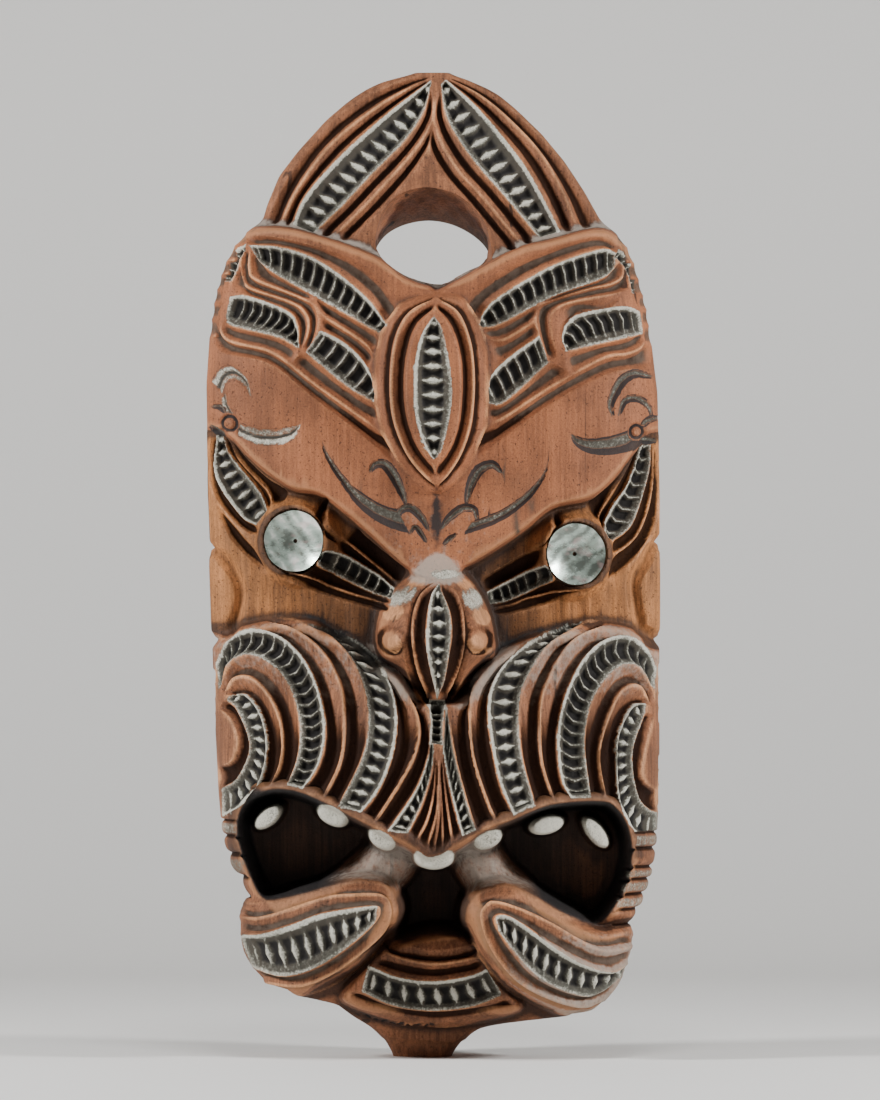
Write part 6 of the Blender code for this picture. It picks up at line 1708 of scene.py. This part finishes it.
def build_stage(stage):
    """A pale floor that curves up into a backdrop, three soft lights and the camera."""
    bend_start = STAGE_BACK - STAGE_BEND
    profile = [(STAGE_FRONT, 0.0), (bend_start, 0.0)]
    for k in range(1, STAGE_STEPS + 1):
        turn = 0.5 * math.pi * k / STAGE_STEPS
        profile.append((bend_start + STAGE_BEND * math.sin(turn), STAGE_BEND - STAGE_BEND * math.cos(turn)))
    profile.append((STAGE_BACK, STAGE_RISE))
    points = [(x, y, FOOT_LEVEL + z) for y, z in profile for x in (-STAGE_HALF_WIDTH, STAGE_HALF_WIDTH)]
    faces = [(2 * k, 2 * k + 1, 2 * k + 3, 2 * k + 2) for k in range(len(profile) - 1)]
    mesh = flat_mesh("floor", points, faces)
    mesh.shade_smooth()
    mesh.materials.append(plain_finish("stage_pale", stage.floor_colour, see_through_back=True))
    new_object("stage_floor", mesh)

    def lamp(name, place, aim, power, size):
        light = bpy.data.lights.new(name, "AREA")
        light.energy, light.size = power, size
        item = new_object(name, light)
        item.location = place
        item.rotation_euler = (Vector(aim) - Vector(place)).to_track_quat("-Z", "Y").to_euler()

    lamp("key", KEY_PLACE, KEY_AIM, stage.key_power, KEY_SIZE)
    lamp("fill", FILL_PLACE, FILL_AIM, stage.fill_power, FILL_SIZE)
    lamp("top", TOP_PLACE, TOP_AIM, stage.top_power, TOP_SIZE)
    world = bpy.data.worlds.new("studio")
    world.use_nodes = True
    background = world.node_tree.nodes["Background"]
    background.inputs[0].default_value = ROOM_COLOUR
    background.inputs[1].default_value = stage.room_light
    bpy.context.scene.world = world

    camera = bpy.data.cameras.new("camera")
    camera.sensor_fit = "VERTICAL"
    camera.sensor_height = SENSOR_HEIGHT
    frame_height = PHOTO_HEIGHT * UNIT
    camera.lens = camera.sensor_height * (CAMERA_DISTANCE - OUTLINE_DEPTH) / frame_height
    camera.clip_end = FAR_CLIP
    item = new_object("camera", camera)
    item.location = (VIEW_CENTRE[0] * UNIT, -CAMERA_DISTANCE, VIEW_CENTRE[1] * UNIT + FOOT_LEVEL)
    item.rotation_euler = (math.radians(90), 0, 0)
    bpy.context.scene.camera = item


def length_property(name, description, default, low, high):
    return bpy.props.FloatProperty(name=name, description=description, default=default, min=low, max=high,
                                   subtype="DISTANCE", unit="LENGTH", precision=5)


def colour_property(name, description, default):
    return bpy.props.FloatVectorProperty(name=name, description=description, default=default, size=3,
                                         min=0, max=1, subtype="COLOR")


def power_property(name, description, default):
    return bpy.props.FloatProperty(name=name, description=description, default=default, min=0, unit="POWER")


class CarvingSizes(bpy.types.PropertyGroup):
    """Depths of the cuts, and how finely the surface is made."""

    carving: bpy.props.FloatProperty(
        name="Carving", description="Depth of all cuts as a share of their own depths", default=1.0,
        min=0, max=1.5, subtype="FACTOR")
    flute_depth: length_property("Flute depth", "Depth of the gouged hollows", 0.0048, 0.001, 0.01)
    lip_flute_depth: length_property("Lip flute depth", "Depth of the lips' hollows", 0.0064, 0.001, 0.01)
    panel_depth: length_property("Panel depth", "Depth of the notched panels", 0.0052, 0.001, 0.01)
    curl_depth: length_property("Curl depth", "Depth of the curls on the brow", 0.0022, 0.0005, 0.005)
    jaw_depth: length_property("Jaw groove depth", "Depth of the jaws' grooves", 0.0034, 0.0005, 0.008)
    ledge_depth: length_property("Ledge depth", "How far each of the foot's ledges stands out",
                                 0.0011, 0, 0.004)
    tool_mark_depth: length_property("Tool mark depth", "Depth of the chisel's facets", 0.0016, 0, 0.003)
    tool_mark_width: length_property("Tool mark width", "Width of a facet", 0.009, 0.002, 0.05)
    tool_mark_length: length_property("Tool mark length", "Length of a facet", 0.045, 0.002, 0.1)
    grid_step: bpy.props.FloatProperty(
        name="Grid step", description="Spacing of the surface's grid, in layout units", default=1.2,
        min=0.8, max=6)
    most_faces: bpy.props.IntProperty(
        name="Most faces", description="Triangles kept before the hole is cut", default=184000,
        min=20000, max=195000)


class MaskColours(bpy.types.PropertyGroup):
    """Colours of the wood, of what lies in its cuts, of the painted shade and highlight on it, and of the
    shells.
    """

    carved: colour_property("Carved wood", "Wood of the crown, lips and lobes", (0.250, 0.097, 0.043))
    brow: colour_property("Brow", "Smooth wood of the brow", (0.265, 0.093, 0.038))
    cheek: colour_property("Cheek", "Warm wood of the cheeks", (0.40, 0.160, 0.052))
    # Crest colour: worn wood and a painted highlight on crests and the rims of the larger forms.
    crest: colour_property("Crest", "Worn crests", (0.64, 0.30, 0.135))
    bare: colour_property("Bare wood", "Fresh wood where the nose is rubbed", (0.58, 0.275, 0.125))
    hewn: colour_property("Hewn back", "Plain old wood of the flat back", (0.150, 0.080, 0.045))
    hollow_dust: colour_property("Dust in hollows", "Dust that settled in the flutes", (0.110, 0.083, 0.064))
    # Near black: painted shade in the hollows, under ledges and beside the nose, and the pores' own dark.
    hollow: colour_property("Hollow", "Bottom of the flutes", (0.012, 0.0045, 0.0024))
    # Darkens the inside of the mouth, and is the painted shade under the lip's edge and round the shells.
    mouth: colour_property("Mouth", "Inside of the mouth", (0.034, 0.017, 0.011))
    charcoal: colour_property("Charcoal", "Speckle on the mouth's black rim", (0.060, 0.056, 0.054))
    dust: colour_property("Dust", "Dust on ledges", (0.36, 0.31, 0.26))
    floor: colour_property("Panel floor", "Dirt between the teeth", (0.050, 0.047, 0.037))
    pigment: colour_property("Pigment", "Pale pigment on rims and teeth", (0.61, 0.59, 0.50))
    old_pigment: colour_property("Old pigment", "Greyed pigment", (0.13, 0.13, 0.105))
    black: colour_property("Black", "Black in the curls and soot", (0.012, 0.011, 0.012))
    shell_silver: colour_property("Shell silver", "Brightest shell", (0.78, 0.80, 0.74))
    shell_green: colour_property("Shell green", "Middle tone of the shell", (0.36, 0.44, 0.38))
    shell_dark: colour_property("Shell dark", "Darkest shell", (0.13, 0.15, 0.13))


class StageSettings(bpy.types.PropertyGroup):
    """The floor and the lights."""

    floor_colour: colour_property("Floor colour", "Colour of the floor and backdrop", (0.78, 0.77, 0.75))
    key_power: power_property("Key", "Power of the left light", 50)
    fill_power: power_property("Fill", "Power of the right light", 46)
    top_power: power_property("Top", "Power of the upper light", 14)
    room_light: bpy.props.FloatProperty(name="Room light", description="Strength of the light all round",
                                        default=0.07, min=0)


class MASK_OT_carved_mask(bpy.types.Operator):
    """Carve the mask's body"""

    bl_idname = "mask.carved_mask"
    bl_label = "Carved mask"

    def execute(self, context):
        build_mask(context.scene.mask_sizes, context.scene.mask_colours)
        return {"FINISHED"}


class MASK_OT_shell_eyes(bpy.types.Operator):
    """Make the two shell discs"""

    bl_idname = "mask.shell_eyes"
    bl_label = "Shell eyes"

    def execute(self, context):
        build_shells(context.scene.mask_colours)
        return {"FINISHED"}


class MASK_OT_stage(bpy.types.Operator):
    """Make the floor, the lights and the camera"""

    bl_idname = "mask.stage"
    bl_label = "Stage"

    def execute(self, context):
        build_stage(context.scene.mask_stage)
        return {"FINISHED"}


class MASK_PT_panel(bpy.types.Panel):
    """Lists the steps and what can be changed"""

    bl_idname = "MASK_PT_panel"
    bl_label = "Gable mask"
    bl_space_type = "VIEW_3D"
    bl_region_type = "UI"
    bl_category = "Mask"

    def draw(self, context):
        for step in (MASK_OT_carved_mask, MASK_OT_shell_eyes, MASK_OT_stage):
            self.layout.operator(step.bl_idname)
        for group in ("mask_sizes", "mask_colours", "mask_stage"):
            settings = getattr(context.scene, group)
            box = self.layout.box()
            for name in settings.bl_rna.properties.keys():
                if name not in ("rna_type", "name"):
                    box.prop(settings, name)


CLASSES = (CarvingSizes, MaskColours, StageSettings, MASK_OT_carved_mask, MASK_OT_shell_eyes,
           MASK_OT_stage, MASK_PT_panel)


def register():
    for item in CLASSES:
        bpy.utils.register_class(item)
    bpy.types.Scene.mask_sizes = bpy.props.PointerProperty(type=CarvingSizes)
    bpy.types.Scene.mask_colours = bpy.props.PointerProperty(type=MaskColours)
    bpy.types.Scene.mask_stage = bpy.props.PointerProperty(type=StageSettings)


def unregister():
    for name in ("mask_sizes", "mask_colours", "mask_stage"):
        delattr(bpy.types.Scene, name)
    for item in reversed(CLASSES):
        bpy.utils.unregister_class(item)


def main():
    register()
    bpy.ops.mask.carved_mask()
    bpy.ops.mask.shell_eyes()
    bpy.ops.mask.stage()


if __name__ == "__main__":
    main()
